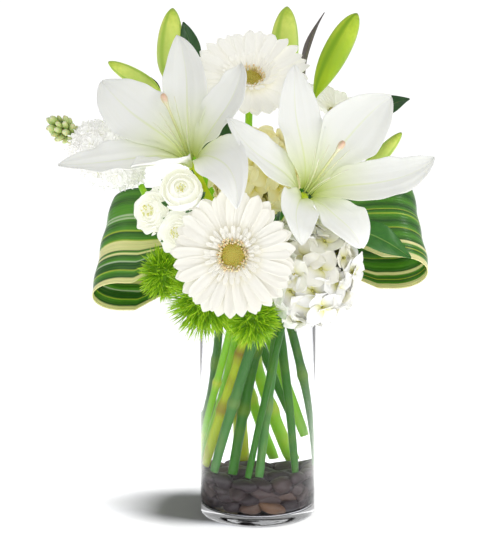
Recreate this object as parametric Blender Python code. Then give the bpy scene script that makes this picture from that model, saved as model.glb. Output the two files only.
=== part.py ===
"""Lilies and mixed white flowers standing in a clear cylinder vase with river stones.

Metres, +Z up. The origin is the centre of the vase's base, which is the flat face it stands on.
The front of the arrangement faces -Y. Every separate piece is its own closed solid.
"""

from math import acos, atan2, cos, pi, radians, sin, sqrt

import bmesh
import bpy
from mathutils import Matrix, Vector

# ---- vase ---------------------------------------------------------------------------------------
VASE_RADIUS = 0.051
VASE_HEIGHT = 0.203
VASE_WALL = 0.0040
VASE_FLOOR = 0.0085
RIM_ROUND = 0.0015
VASE_SEGMENTS = 48

# ---- river stones -------------------------------------------------------------------------------
STONE_BED_TOP = 0.0420
STONE_LENGTH = 0.0270
STONE_WIDTH = 0.0200
STONE_THICKNESS = 0.0140
STONES_PER_RING = 8
STONE_RINGS = 3

# ---- stems --------------------------------------------------------------------------------------
DRAWN_VASE_HEIGHT = 0.203
STRETCH_BOTTOM = 0.060
STRETCH_TOP = 0.165
WAIST_HEIGHT = 0.172
FOOT_SLOPE = 0.270
NECK_HEIGHT = 0.201
STEM_POINTS = 14

# ---- gaps ---------------------------------------------------------------------------------------
GAP = 0.0003
SEAT_GAP = 0.0015

# ---- lilies -------------------------------------------------------------------------------------
PETAL_THICKNESS = 0.0012
PETAL_ROOT = 0.0060
ROOT_CLEARANCE = 0.0022
THROAT_DEPTH = 0.0040
INNER_SHARE = radians(31)
OUTER_SHARE = radians(24)
PISTIL_RADIUS = 0.0014
STIGMA_RADIUS = 0.0032
PISTIL_LENGTH = 0.072

# ---- gerberas -----------------------------------------------------------------------------------
GERBERA_RADIUS = 0.051
GERBERA_DISC_RADIUS = 0.0130
GERBERA_RAYS = 24
RAY_THICKNESS = 0.0018

# ---- leaves -------------------------------------------------------------------------------------
LEAF_THICKNESS = 0.0009
ASPIDISTRA_THICKNESS = 0.0010
ASPIDISTRA_LEAN = radians(41)

PALETTE = {
    "glass": ((0.90, 0.93, 0.93, 1), 0.03),
    "stone": ((0.055, 0.040, 0.036, 1), 0.35),
    "lily_white": ((0.88, 0.89, 0.85, 1), 0.50),
    "lily_green": ((0.50, 0.62, 0.22, 1), 0.45),
    "gerbera_white": ((0.90, 0.89, 0.86, 1), 0.55),
    "gerbera_eye": ((0.74, 0.62, 0.24, 1), 0.75),
    "hydrangea_white": ((0.87, 0.87, 0.78, 1), 0.60),
    "rose_white": ((0.89, 0.90, 0.84, 1), 0.50),
    "stock_white": ((0.88, 0.87, 0.90, 1), 0.60),
    "trick_green": ((0.15, 0.36, 0.03, 1), 0.65),
    "stem_green": ((0.20, 0.36, 0.08, 1), 0.45),
    "leaf_green": ((0.09, 0.26, 0.05, 1), 0.40),
}


# ---- helpers ------------------------------------------------------------------------------------
def clear_scene():
    """Remove every object of the open file."""
    for old in list(bpy.data.objects):
        bpy.data.objects.remove(old, do_unlink=True)


def finish_material(finish, name):
    """Make one Principled material for one object."""
    colour, roughness = PALETTE[finish]
    material = bpy.data.materials.new(name)
    material.use_nodes = True
    shader = material.node_tree.nodes["Principled BSDF"]
    shader.inputs["Base Color"].default_value = colour
    shader.inputs["Roughness"].default_value = roughness
    shader.inputs["Metallic"].default_value = 0.0
    material.diffuse_color = colour
    return material


def add_object(name, data, finish, matrix=None, parent=None):
    """Link data as a named object with its own material, placed by its matrix."""
    piece = bpy.data.objects.new(name, data)
    bpy.context.scene.collection.objects.link(piece)
    data.materials.append(finish_material(finish, name))
    if parent:
        piece.parent = parent
    if matrix:
        piece.matrix_local = matrix
    return piece


def mesh_object(name, bm, finish, matrix=None, parent=None):
    """Turn a bmesh into a smooth-shaded object."""
    mesh = bpy.data.meshes.new(name)
    bmesh.ops.recalc_face_normals(bm, faces=bm.faces)
    bm.to_mesh(mesh)
    bm.free()
    mesh.shade_smooth()
    return add_object(name, mesh, finish, matrix, parent)


def thicken(piece, thickness):
    """Give a sheet its thickness, half to each side."""
    shell = piece.modifiers.new("thickness", "SOLIDIFY")
    shell.thickness = thickness
    shell.offset = 0.0
    return piece


def facing(place, direction):
    """Matrix that puts local +Z along a direction at a place."""
    turn = Vector(direction).normalized().to_track_quat("Z", "Y")
    return Matrix.LocRotScale(Vector(place), turn, None)


def smooth_route(points, count):
    """Evenly spaced points on the smooth curve through hand-chosen points."""
    knots = [Vector(point) for point in points]
    knots = [2 * knots[0] - knots[1]] + knots + [2 * knots[-1] - knots[-2]]
    dense = []
    for index in range(1, len(knots) - 2):
        before, start, end, after = knots[index - 1:index + 3]
        for step in range(24):
            t = step / 24
            dense.append(0.5 * (2 * start + (end - before) * t
                                + (2 * before - 5 * start + 4 * end - after) * t ** 2
                                + (3 * start - before - 3 * end + after) * t ** 3))
    dense.append(knots[-2])
    lengths = [0.0]
    for first, second in zip(dense, dense[1:]):
        lengths.append(lengths[-1] + (second - first).length)
    route = []
    at = 0
    for step in range(count):
        target = lengths[-1] * step / (count - 1)
        while at < len(dense) - 2 and lengths[at + 1] < target:
            at += 1
        span = max(lengths[at + 1] - lengths[at], 1e-9)
        route.append(dense[at].lerp(dense[at + 1], (target - lengths[at]) / span))
    return route


def tube(name, route, radii, finish, resolution=1):
    """A round solid along a route, with a radius at each point and filled ends."""
    curve = bpy.data.curves.new(name, "CURVE")
    curve.dimensions = "3D"
    curve.bevel_depth = max(radii)
    curve.bevel_resolution = resolution
    curve.use_fill_caps = True
    spline = curve.splines.new("POLY")
    spline.points.add(len(route) - 1)
    for point, place, radius in zip(spline.points, route, radii):
        point.co = (*place, 1.0)
        point.radius = radius / max(radii)
    return add_object(name, curve, finish)


def tube_mesh(name, route, radii, finish):
    """A tube as a mesh object, for joining with others."""
    guide = tube(name + "_curve", route, radii, finish)
    mesh = bpy.data.meshes.new_from_object(guide)
    bpy.data.objects.remove(guide, do_unlink=True)
    bm = bmesh.new()
    bm.from_mesh(mesh)
    bmesh.ops.remove_doubles(bm, verts=bm.verts, dist=0.00001)
    return mesh_object(name, bm, finish)


def join_solids(body, others):
    """Fuse several solids into the body by Boolean unions."""
    for other in others:
        union = body.modifiers.new("join_" + other.name, "BOOLEAN")
        union.operation = "UNION"
        union.solver = "EXACT"
        union.object = other
        other.hide_render = True
        other.display_type = "WIRE"
    return body


def turned(name, profile, segments, finish, matrix=None):
    """Turn an outline of (radius, height) points round the local Z axis."""
    bm = bmesh.new()
    outline = [bm.verts.new((radius, 0, height)) for radius, height in profile]
    edges = [bm.edges.new(pair) for pair in zip(outline, outline[1:])]
    bmesh.ops.spin(bm, geom=outline + edges, cent=(0, 0, 0), axis=(0, 0, 1),
                   angle=2 * pi, steps=segments, use_merge=True)
    bmesh.ops.remove_doubles(bm, verts=bm.verts, dist=0.00001)
    return mesh_object(name, bm, finish, matrix)


def spread_directions(count):
    """Directions spread evenly over a sphere."""
    golden = pi * (3 - sqrt(5))
    for index in range(count):
        height = 1 - 2 * (index + 0.5) / count
        ring = sqrt(1 - height * height)
        yield Vector((ring * cos(golden * index), ring * sin(golden * index), height))


def bumpy_ball(name, centre, radii, bumps, bump_height, finish, subdivisions=3, turn=None):
    """A cluster of small flowers as one bumpy closed ball."""
    bm = bmesh.new()
    bmesh.ops.create_icosphere(bm, subdivisions=subdivisions, radius=1.0)
    reach = 2.2 / sqrt(bumps)
    peaks = list(spread_directions(bumps))
    for vert in bm.verts:
        way = vert.co.normalized()
        nearest = min(acos(max(-1, min(1, way.dot(peak)))) for peak in peaks)
        lift = bump_height * max(0.0, 1 - (nearest / reach) ** 2)
        vert.co = Vector([way[axis] * (radii[axis] - bump_height + lift) for axis in range(3)])
    matrix = Matrix.LocRotScale(Vector(centre), turn, None)
    return mesh_object(name, bm, finish, matrix)


# ---- vase and stones ----------------------------------------------------------------------------
def make_vase():
    """Straight clear cylinder with a thick floor and a rounded rim."""
    inner = VASE_RADIUS - VASE_WALL
    top = VASE_HEIGHT
    profile = [(0.0, 0.0), (VASE_RADIUS - RIM_ROUND, 0.0), (VASE_RADIUS, RIM_ROUND),
               (VASE_RADIUS, top - RIM_ROUND), (VASE_RADIUS - RIM_ROUND, top),
               (inner + RIM_ROUND, top), (inner, top - RIM_ROUND),
               (inner, VASE_FLOOR + RIM_ROUND), (inner - RIM_ROUND, VASE_FLOOR),
               (0.0, VASE_FLOOR)]
    turned("vase", profile, VASE_SEGMENTS, "glass")


def stone(name, centre, spin, tilt):
    """One flattened river stone, left as a cutter-style guide for the bed."""
    bm = bmesh.new()
    bmesh.ops.create_icosphere(bm, subdivisions=2, radius=0.5)
    bmesh.ops.scale(bm, vec=(STONE_LENGTH, STONE_WIDTH, STONE_THICKNESS), verts=bm.verts)
    turn = Matrix.Rotation(spin, 4, "Z") @ Matrix.Rotation(tilt, 4, "Y")
    return mesh_object(name, bm, "stone", Matrix.Translation(centre) @ turn)


def make_stones():
    """River stones that fill the bottom of the vase, touching and so one solid bed."""
    inner = VASE_RADIUS - VASE_WALL - GAP
    low = VASE_FLOOR + GAP
    core = turned("river_stones", [(0, low), (inner * 0.78, low), (inner * 0.78, STONE_BED_TOP * 0.84),
                                   (0, STONE_BED_TOP * 0.84)], 16, "stone")
    ring_radius = inner - STONE_WIDTH / 2 - 0.0012
    first = low + STONE_THICKNESS / 2 + 0.0012
    rise = (STONE_BED_TOP - STONE_THICKNESS / 2 - first) / (STONE_RINGS - 1)
    stones = []
    for ring in range(STONE_RINGS):
        for index in range(STONES_PER_RING):
            angle = 2 * pi * (index + ring / 2) / STONES_PER_RING
            height = first + rise * ring - 0.0008 * (index % 2)
            place = (ring_radius * cos(angle), ring_radius * sin(angle), height)
            stones.append(stone(f"stone_{ring}_{index}", place, angle + pi / 2, 0.0))
    for index in range(4):
        angle = pi / 4 + index * pi / 2
        place = (0.017 * cos(angle), 0.017 * sin(angle), STONE_BED_TOP - STONE_THICKNESS * 0.55)
        stones.append(stone(f"stone_top_{index}", place, angle, 0.0))
    join_solids(core, stones)


# ---- stems --------------------------------------------------------------------------------------
def spiral_foot(name, waist_angle, waist_radius):
    """Foot, waist and neck of a stem in the twisted bundle, all on one straight run."""
    outward = Vector((cos(waist_angle), sin(waist_angle), 0))
    sideways = Vector((-sin(waist_angle), cos(waist_angle), 0))
    foot_height = STONE_BED_TOP + SEAT_GAP + SHORT_STEMS.get(name, 0.0)
    run = []
    for height in (foot_height, (foot_height + WAIST_HEIGHT) / 2, WAIST_HEIGHT, NECK_HEIGHT):
        slide = FOOT_SLOPE * (height - WAIST_HEIGHT)
        run.append(waist_radius * outward + slide * sideways + Vector((0, 0, height)))
    return run


STEMS = {
    # name: (waist angle in degrees, waist radius, stem radius, points from the neck to the flower)
    "lily_left_stem": (168, 0.0150, 0.0040, [(-0.026, -0.012, 0.250), (-0.045, -0.035, 0.292)]),
    "lily_right_stem": (-112, 0.0150, 0.0040, [(0.012, -0.020, 0.240), (0.025, -0.044, 0.272)]),
    "bud_left_stem": (128, 0.0150, 0.0037, [(-0.030, 0.014, 0.260), (-0.052, 0.014, 0.310)]),
    "bud_right_stem": (-22, 0.0150, 0.0037, [(0.022, 0.012, 0.260), (0.030, 0.014, 0.310)]),
    "gerbera_front_stem": (-152, 0.0150, 0.0033, [(-0.006, -0.052, 0.236), (-0.014, -0.085, 0.250)]),
    "gerbera_top_stem": (78, 0.0140, 0.0033, [(-0.008, 0.016, 0.270), (-0.008, 0.022, 0.345)]),
    "gerbera_back_stem": (28, 0.0150, 0.0033, [(0.030, 0.030, 0.262), (0.050, 0.036, 0.320)]),
    "hydrangea_upper_stem": (-40, 0.0030, 0.0041, [(0.000, -0.018, 0.240)]),
    "hydrangea_lower_stem": (-92, 0.0240, 0.0041, []),
    "rose_stem": (-178, 0.0260, 0.0028, [(-0.030, -0.034, 0.228), (-0.046, -0.060, 0.256)]),
    "stock_stem": (132, 0.0260, 0.0029, [(-0.055, -0.023, 0.238), (-0.086, -0.030, 0.270)]),
    "green_trick_stem": (-140, 0.0260, 0.0028, []),
    "aspidistra_left_stem": (100, 0.0260, 0.0029, []),
    "aspidistra_right_stem": (-48, 0.0260, 0.0029, []),
    "foliage_stem": (48, 0.0270, 0.0027, []),
}


# Stems cut shorter, and how far their cut ends stay above the stones.
SHORT_STEMS = {"gerbera_top_stem": 0.026, "aspidistra_left_stem": 0.038}


def make_stem(name, end_points, build=tube):
    """One stem from the stones, through the bundle's waist, up to its flower."""
    angle, waist_radius, radius, between = STEMS[name]
    points = spiral_foot(name, radians(angle), waist_radius)
    points += [Vector(point) for point in between] + [Vector(point) for point in end_points]
    route = smooth_route(points, STEM_POINTS)
    return build(name, route, [radius] * STEM_POINTS, "stem_green")


# ---- lilies -------------------------------------------------------------------------------------
def petal_outline(x):
    """Share of the full half width at a share x of the petal's length, fullest past the middle."""
    return max(0.03, sin(pi * x ** 0.95) ** 0.80) if 0 < x < 1 else 0.03


def petal_profile(length, flare, curl, steps=40):
    """Radius and height along a petal that leaves the throat steeply and flares out."""
    start = radians(16)
    radius, height = PETAL_ROOT, 0.0
    profile = [(radius, height, start)]
    for step in range(1, steps + 1):
        x = (step - 0.5) / steps
        opening = 1 - (1 - min(1, x / 0.55)) ** 2
        lean = start + (flare - start) * opening + curl * max(0.0, (x - 0.55) / 0.45) ** 2
        radius += sin(lean) * length / steps
        height += cos(lean) * length / steps
        profile.append((radius, height, lean))
    return profile


def make_petal(name, parent, angle, drift, length, width, flare, curl, cup, inner_whorl):
    """One lily petal as a thin cupped blade in the flower's own frame, whose axis is +Z."""
    profile = petal_profile(length, flare, curl)
    bm = bmesh.new()
    bmesh.ops.create_grid(bm, x_segments=8, y_segments=4, size=1.0)
    share = INNER_SHARE if inner_whorl else OUTER_SHARE
    for vert in bm.verts:
        x = (vert.co.x + 1) / 2
        side = vert.co.y
        index = min(len(profile) - 1, round(x * (len(profile) - 1)))
        radius, height, lean = profile[index]
        turn = angle + drift * x * x
        outward = Vector((cos(turn), sin(turn), 0))
        across = Vector((-sin(turn), cos(turn), 0))
        inward = sin(lean) * Vector((0, 0, 1)) - cos(lean) * outward
        half = min(width / 2 * petal_outline(x), (radius - ROOT_CLEARANCE) * sin(share))
        place = radius * outward + Vector((0, 0, height))
        vert.co = place + side * half * across + cup * side * side * half * inward
    return thicken(mesh_object(name, bm, "lily_white", None, parent), PETAL_THICKNESS)


LILY_LEFT = {
    "throat": (-0.0575, -0.0600, 0.3250), "axis": (-0.274, -0.578, 0.768),
    # angle from the axis' own upward direction, drift, length, width, flare, curl
    "petals": [(35, -10, 0.112, 0.056, 74, 25), (-25, 8, 0.118, 0.040, 72, 15),
               (-85, 30, 0.094, 0.042, 70, 35), (-145, -23, 0.100, 0.046, 82, 60),
               (95, -15, 0.112, 0.038, 76, 25), (155, -20, 0.086, 0.040, 48, 10)],
}
LILY_RIGHT = {
    "throat": (0.0400, -0.0750, 0.2990), "axis": (0.355, -0.691, 0.629),
    "petals": [(55, -11, 0.110, 0.042, 74, 20), (115, -23, 0.094, 0.034, 80, 30),
               (175, 28, 0.060, 0.036, 82, 80), (-117, 10, 0.072, 0.048, 80, 80),
               (-62, 22, 0.117, 0.040, 76, 25), (0, -6, 0.114, 0.054, 68, 25)],
}


def lily_frame(flower):
    """Matrix of a lily: origin where its petals meet, +Z along its axis, +X towards its top."""
    axis = Vector(flower["axis"]).normalized()
    view = Vector((0.0, -0.983, 0.182))
    uphill = (axis - view * axis.dot(view))
    uphill = (uphill - axis * uphill.dot(axis)).normalized()
    across = axis.cross(uphill)
    turn = Matrix((uphill, across, axis)).transposed().to_4x4()
    return Matrix.Translation(Vector(flower["throat"]) - THROAT_DEPTH * axis) @ turn


def make_lily(side, flower):
    """A lily: six petals in two whorls round a pistil, on a stem that meets it from behind."""
    frame = lily_frame(flower)
    holder = bpy.data.objects.new(f"lily_{side}_frame", None)
    bpy.context.scene.collection.objects.link(holder)
    holder.matrix_world = frame
    for index, (angle, drift, length, width, flare, curl) in enumerate(flower["petals"]):
        make_petal(f"lily_{side}_petal_{index + 1}", holder, radians(angle), radians(drift), length,
                   width, radians(flare), radians(curl), 0.28, index % 2 == 0)
    route = [frame @ Vector((0.004 * (k / 9) ** 2, 0, 0.004 + PISTIL_LENGTH * k / 9)) for k in range(10)]
    radii = [PISTIL_RADIUS] * 8 + [STIGMA_RADIUS] * 2
    tube(f"lily_{side}_pistil", route, radii, "lily_green")
    make_stem(f"lily_{side}_stem", [frame @ Vector((0, 0, -0.003))])


BUDS = {
    # name: (points from the stem's top to the tip, greatest radius)
    "lily_bud_1": ([(-0.056, 0.018, 0.322), (-0.070, 0.022, 0.372), (-0.076, 0.024, 0.402),
                    (-0.074, 0.024, 0.446)], 0.0125),
    "lily_bud_2": ([(-0.063, 0.008, 0.326), (-0.080, 0.004, 0.362), (-0.096, 0.002, 0.381),
                    (-0.129, 0.002, 0.401)], 0.0080),
    "lily_bud_3": ([(0.028, 0.026, 0.322), (0.025, 0.044, 0.360), (0.0236, 0.056, 0.388),
                    (0.026, 0.058, 0.446)], 0.0140),
    "lily_bud_4": ([(0.037, 0.012, 0.316), (0.044, 0.000, 0.352), (0.052, -0.010, 0.380),
                    (0.084, -0.010, 0.443)], 0.0115),
    "lily_bud_5": ([(0.044, 0.010, 0.290), (0.070, 0.012, 0.296), (0.098, 0.018, 0.309),
                    (0.126, 0.020, 0.338)], 0.0070),
}


def make_bud(name):
    """A closed lily bud on its own thin stalk, one swelling solid."""
    points, fullest = BUDS[name]
    count = 14
    route = smooth_route(points, count)
    stalk = 0.0017
    radii = []
    for index in range(count):
        x = max(0.0, (index / (count - 1) - 0.42) / 0.58)
        swell = (sin(pi * x ** 0.62)) ** 0.75 if 0 < x < 1 else 0.0
        radii.append(max(stalk * (1 if x < 0.7 else 0.6), fullest * swell))
    tube(name, route, radii, "lily_green")


# ---- gerberas -----------------------------------------------------------------------------------
GERBERAS = {
    # name: (centre, facing, outer radius, rise of the ray tips, has its eye as a piece of its own)
    "gerbera_front": ((-0.0210, -0.1140, 0.2530), (-0.20, -0.955, 0.12), GERBERA_RADIUS, 0.002, True),
    "gerbera_top": ((-0.0070, 0.0000, 0.3860), (0.00, -0.643, 0.766), GERBERA_RADIUS, 0.009, True),
    "gerbera_back": ((0.0700, 0.0480, 0.3530), (0.50, 0.40, 0.77), 0.0360, 0.006, False),
}


def make_gerbera(name):
    """A gerbera: a notched collar of rays round an eye, on a leafless stem."""
    centre, normal, radius, rise, open_eye = GERBERAS[name]
    matrix = facing(centre, normal)
    eye = GERBERA_DISC_RADIUS * radius / GERBERA_RADIUS
    bm = bmesh.new()
    bmesh.ops.create_circle(bm, cap_ends=not open_eye, segments=2 * GERBERA_RAYS, radius=eye + GAP)
    rim = list(bm.edges)
    for share, lift in ((0.55, 0.002 + 0.5 * rise), (1.0, rise)):
        ring = bmesh.ops.extrude_edge_only(bm, edges=rim)["geom"]
        rim = [item for item in ring if isinstance(item, bmesh.types.BMEdge)]
        verts = sorted((item for item in ring if isinstance(item, bmesh.types.BMVert)),
                       key=lambda vert: atan2(vert.co.y, vert.co.x))
        for index, vert in enumerate(verts):
            notch = 0.88 if index % 2 and share == 1.0 else 1.0
            flat = Vector((vert.co.x, vert.co.y, 0)).normalized()
            vert.co = flat * (eye + (radius - eye) * share) * notch + Vector((0, 0, lift))
    thicken(mesh_object(f"{name}_petals", bm, "gerbera_white", matrix), RAY_THICKNESS)
    if open_eye:
        profile = [(0, -0.0045), (eye * 0.55, -0.0045), (eye - GAP, -0.0010), (eye - GAP, 0.0020),
                   (eye * 0.6, 0.0042), (0, 0.0030)]
        turned(f"{name}_disc", profile, 20, "gerbera_eye", matrix)
    make_stem(f"{name}_stem", [matrix @ Vector((0, 0, -0.0080))])


# ---- clustered flowers --------------------------------------------------------------------------
HYDRANGEAS = {
    # name: (centre, radii, where the stem meets the head)
    "hydrangea_upper": ((-0.002, -0.036, 0.309), (0.038, 0.034, 0.036), (-0.002, -0.031, 0.268)),
    "hydrangea_lower": ((0.043, -0.071, 0.233), (0.040, 0.034, 0.045), (0.020, -0.036, 0.216)),
}


def make_hydrangea(name):
    """A mop-head of florets with its woody stem."""
    centre, radii, seat = HYDRANGEAS[name]
    bumpy_ball(f"{name}_head", centre, radii, 30, 0.0050, "hydrangea_white")
    make_stem(f"{name}_stem", [Vector(seat)])


ROSES = {
    # name: (centre, facing, radius)
    "rose_1": ((-0.063, -0.096, 0.303), (-0.10, -0.85, 0.50), 0.0170),
    "rose_2": ((-0.089, -0.064, 0.281), (-0.60, -0.75, 0.25), 0.0165),
    "rose_3": ((-0.066, -0.086, 0.267), (-0.35, -0.92, 0.10), 0.0155),
}


def make_roses():
    """Three small cupped roses on one branching stem."""
    for name, (centre, normal, radius) in ROSES.items():
        profile = [(0, -0.95 * radius), (0.55 * radius, -0.80 * radius), (0.93 * radius, -0.30 * radius),
                   (radius, 0.15 * radius), (0.86 * radius, 0.55 * radius), (0.45 * radius, 0.72 * radius),
                   (0, 0.60 * radius)]
        turned(name, profile, 14, "rose_white", facing(centre, normal))
    ends = {name: Vector(centre) - Vector(normal).normalized() * (0.95 * radius + SEAT_GAP)
            for name, (centre, normal, radius) in ROSES.items()}
    fork = Vector((-0.046, -0.060, 0.256))
    trunk = make_stem("rose_stem", [ends["rose_1"]], tube_mesh)
    branches = []
    for name in ("rose_2", "rose_3"):
        points = [fork, fork.lerp(ends[name], 0.5) + Vector((0, 0.004, 0)), ends[name]]
        branches.append(tube_mesh(f"{name}_branch", smooth_route(points, 6), [0.0018] * 6, "stem_green"))
    join_solids(trunk, branches)


def make_stock():
    """A spike of stock: ruffled florets below and green buds at its tip."""
    turn = Vector((-0.83, 0.05, 0.52)).to_track_quat("Z", "Y")
    bumpy_ball("stock_florets", (-0.129, -0.014, 0.318), (0.024, 0.024, 0.034), 18, 0.005,
               "stock_white", 3, turn)
    bumpy_ball("stock_buds", (-0.1675, -0.0115, 0.3440), (0.0100, 0.0100, 0.0150), 14, 0.0025,
               "lily_green", 2, turn)
    make_stem("stock_stem", [(-0.101, -0.012, 0.2955)])


GREEN_TRICK = {
    "green_trick_1": ((-0.044, -0.077, 0.212), (0.024, 0.024, 0.031)),
    "green_trick_2": ((-0.005, -0.081, 0.195), (0.018, 0.021, 0.021)),
    "green_trick_3": ((-0.081, -0.058, 0.227), (0.015, 0.019, 0.020)),
}


def make_green_trick():
    """Three mossy green dianthus balls that hang over the front of the rim."""
    for name, (centre, radii) in GREEN_TRICK.items():
        bumpy_ball(name, centre, radii, 26, 0.003, "trick_green")
    make_stem("green_trick_stem", [(-0.027, -0.040, 0.2135), (-0.032, -0.0485, 0.2160)])


# ---- leaves -------------------------------------------------------------------------------------
def make_folded_leaf(name, side, lower_corner, width, depth, run, slant):
    """A broad striped leaf bent back on itself beside the bouquet.

    Every straight line across the blade has one direction, which leans back and sideways, so the
    bend is a leaning tube that is open below. The lower margin runs out, round the bend and back.
    """
    out = Vector((side, 0, 0))
    across = Vector((side * slant, sin(ASPIDISTRA_LEAN), cos(ASPIDISTRA_LEAN))).normalized()
    front = Vector((0, -cos(ASPIDISTRA_LEAN), sin(ASPIDISTRA_LEAN)))
    bend = depth / 2
    bend_length = pi * bend
    total = 2 * run + bend_length
    bm = bmesh.new()
    bmesh.ops.create_grid(bm, x_segments=22, y_segments=4, size=1.0)
    middle = Vector(lower_corner) - bend * out
    for vert in bm.verts:
        along = (vert.co.x + 1) / 2 * total
        if along < run:
            place = middle + front * bend - out * (run - along)
        elif along < run + bend_length:
            angle = (along - run) / bend
            place = middle + front * bend * cos(angle) + out * bend * sin(angle)
        else:
            place = middle - front * bend - out * (along - run - bend_length)
        ends = min(along, total - along) / total
        taper = min(1.0, 0.45 + 2.6 * ends)
        height = (vert.co.y + 1) / 2
        vert.co = place + across * width * (0.5 + (height - 0.5) * taper)
    thicken(mesh_object(name, bm, "leaf_green"), ASPIDISTRA_THICKNESS)


def make_leaf(name, base, tip, width, up, sag=0.10, fold=0.12):
    """A pointed leaf from base to tip, folded a little along its midrib and bent down its length."""
    start, end = Vector(base), Vector(tip)
    along = end - start
    length = along.length
    along.normalize()
    lift = Vector(up)
    lift = (lift - along * lift.dot(along)).normalized()
    across = lift.cross(along)
    bm = bmesh.new()
    bmesh.ops.create_grid(bm, x_segments=8, y_segments=2, size=1.0)
    for vert in bm.verts:
        x = (vert.co.x + 1) / 2
        side = vert.co.y
        half = max(0.0012, width / 2 * sin(pi * x ** 0.85) ** 0.8 if 0 < x < 1 else 0)
        bow = sag * length * sin(pi * x)
        vert.co = start + along * length * x + across * side * half \
            + lift * (bow + fold * abs(side) * half)
    thicken(mesh_object(name, bm, "leaf_green"), LEAF_THICKNESS)


LEAVES = {
    # name: (base, tip, width, the way its upper face looks)
    "leaf_front_right": ((0.0690, -0.0520, 0.2680), (0.1290, -0.0560, 0.2400), 0.0270, (0.2, -0.75, 0.6)),
    "leaf_back_right": ((0.0960, 0.0160, 0.3500), (0.1320, 0.0140, 0.3680), 0.0240, (-0.2, -0.6, 0.75)),
    "leaf_top_left": ((-0.0560, 0.0240, 0.3930), (-0.0650, 0.0240, 0.4340), 0.0180, (0.3, -0.9, 0.1)),
    "leaf_back_left": ((-0.0860, 0.0340, 0.3640), (-0.1080, 0.0300, 0.3900), 0.0160, (0.1, -0.8, 0.5)),
    "leaf_spear": ((0.0400, 0.0300, 0.3740), (0.0580, 0.0300, 0.4420), 0.0120, (-0.9, -0.4, 0.1)),
    "leaf_rear_left": ((0.0000, 0.0620, 0.2820), (-0.0640, 0.0760, 0.3480), 0.0560, (-0.15, 0.93, 0.2)),
    "leaf_rear_right": ((0.0120, 0.0560, 0.2500), (0.0560, 0.0900, 0.3080), 0.0520, (0.2, 0.9, 0.35)),
}


def make_foliage():
    """Two folded striped leaves with their stalks, and the small leaves between the flowers."""
    make_folded_leaf("aspidistra_left", -1, (-0.144, -0.024, 0.200), 0.098, 0.050, 0.048, -0.15)
    make_folded_leaf("aspidistra_right", 1, (0.147, -0.024, 0.221), 0.082, 0.054, 0.056, -0.12)
    make_stem("aspidistra_left_stem", [(-0.046, 0.014, 0.219), (-0.060, 0.014, 0.222)])
    make_stem("aspidistra_right_stem", [(0.046, 0.010, 0.219), (0.060, 0.010, 0.222)])
    for name, (base, tip, width, up) in LEAVES.items():
        make_leaf(name, base, tip, width, up)
    make_stem("foliage_stem", [(0.008, 0.0460, 0.2560), (0.005, 0.0560, 0.3100)])


def follow_vase():
    """Lengthen or shorten the stems so that the bouquet stands on the rim of any height of vase.

    Every height in this file is for a vase of the drawn height. One and the same change of height
    for all pieces keeps them clear of each other.
    """
    lift = VASE_HEIGHT - DRAWN_VASE_HEIGHT
    if not lift:
        return
    bpy.context.view_layer.update()
    for piece in bpy.context.scene.objects:
        if piece.type not in ("MESH", "CURVE") or piece.name in ("vase", "river_stones"):
            continue
        world, back = piece.matrix_world.copy(), piece.matrix_world.inverted()
        is_mesh = piece.type == "MESH"
        for point in piece.data.vertices if is_mesh else piece.data.splines[0].points:
            spot = world @ point.co.xyz
            share = (spot.z - STRETCH_BOTTOM) / (STRETCH_TOP - STRETCH_BOTTOM)
            spot.z += lift * min(1.0, max(0.0, share))
            spot = back @ spot
            point.co = spot if is_mesh else (*spot, 1.0)


def main():
    """Build every piece of the arrangement."""
    clear_scene()
    make_vase()
    make_stones()
    make_lily("left", LILY_LEFT)
    make_lily("right", LILY_RIGHT)
    for name in BUDS:
        make_bud(name)
    make_stem("bud_left_stem", [(-0.0560, 0.0140, 0.3180)])
    make_stem("bud_right_stem", [(0.0320, 0.0160, 0.3150)])
    for name in GERBERAS:
        make_gerbera(name)
    for name in HYDRANGEAS:
        make_hydrangea(name)
    make_roses()
    make_stock()
    make_green_trick()
    make_foliage()
    follow_vase()


main()
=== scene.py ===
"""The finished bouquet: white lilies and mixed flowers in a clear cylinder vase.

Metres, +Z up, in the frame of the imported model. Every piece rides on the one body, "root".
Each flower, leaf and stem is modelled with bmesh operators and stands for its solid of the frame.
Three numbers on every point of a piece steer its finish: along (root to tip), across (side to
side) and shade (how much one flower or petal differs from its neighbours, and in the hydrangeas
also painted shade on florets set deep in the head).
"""

import logging
from collections.abc import Callable, Sequence
from dataclasses import dataclass
from enum import Enum
from math import atan2, cos, exp, pi, radians, sin, sqrt
from random import Random

import bmesh
import bpy
from mathutils import Matrix, Vector, noise


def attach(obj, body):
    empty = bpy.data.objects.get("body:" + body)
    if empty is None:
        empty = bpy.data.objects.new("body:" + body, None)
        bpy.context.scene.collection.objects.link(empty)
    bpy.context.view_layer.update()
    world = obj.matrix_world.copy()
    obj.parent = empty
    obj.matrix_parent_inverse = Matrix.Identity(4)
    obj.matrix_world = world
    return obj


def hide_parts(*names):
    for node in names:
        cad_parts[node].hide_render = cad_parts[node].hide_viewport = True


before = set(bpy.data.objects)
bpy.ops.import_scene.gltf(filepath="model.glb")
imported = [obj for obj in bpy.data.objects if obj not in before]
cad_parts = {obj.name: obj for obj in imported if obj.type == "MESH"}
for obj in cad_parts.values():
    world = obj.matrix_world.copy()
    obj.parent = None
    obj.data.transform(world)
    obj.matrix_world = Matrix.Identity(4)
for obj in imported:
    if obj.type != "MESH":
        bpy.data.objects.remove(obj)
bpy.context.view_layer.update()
LOG = logging.getLogger("bouquet")

GOLDEN = pi * (3 - sqrt(5))

Point = tuple[float, float, float]
Colour = tuple[float, float, float]


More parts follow.
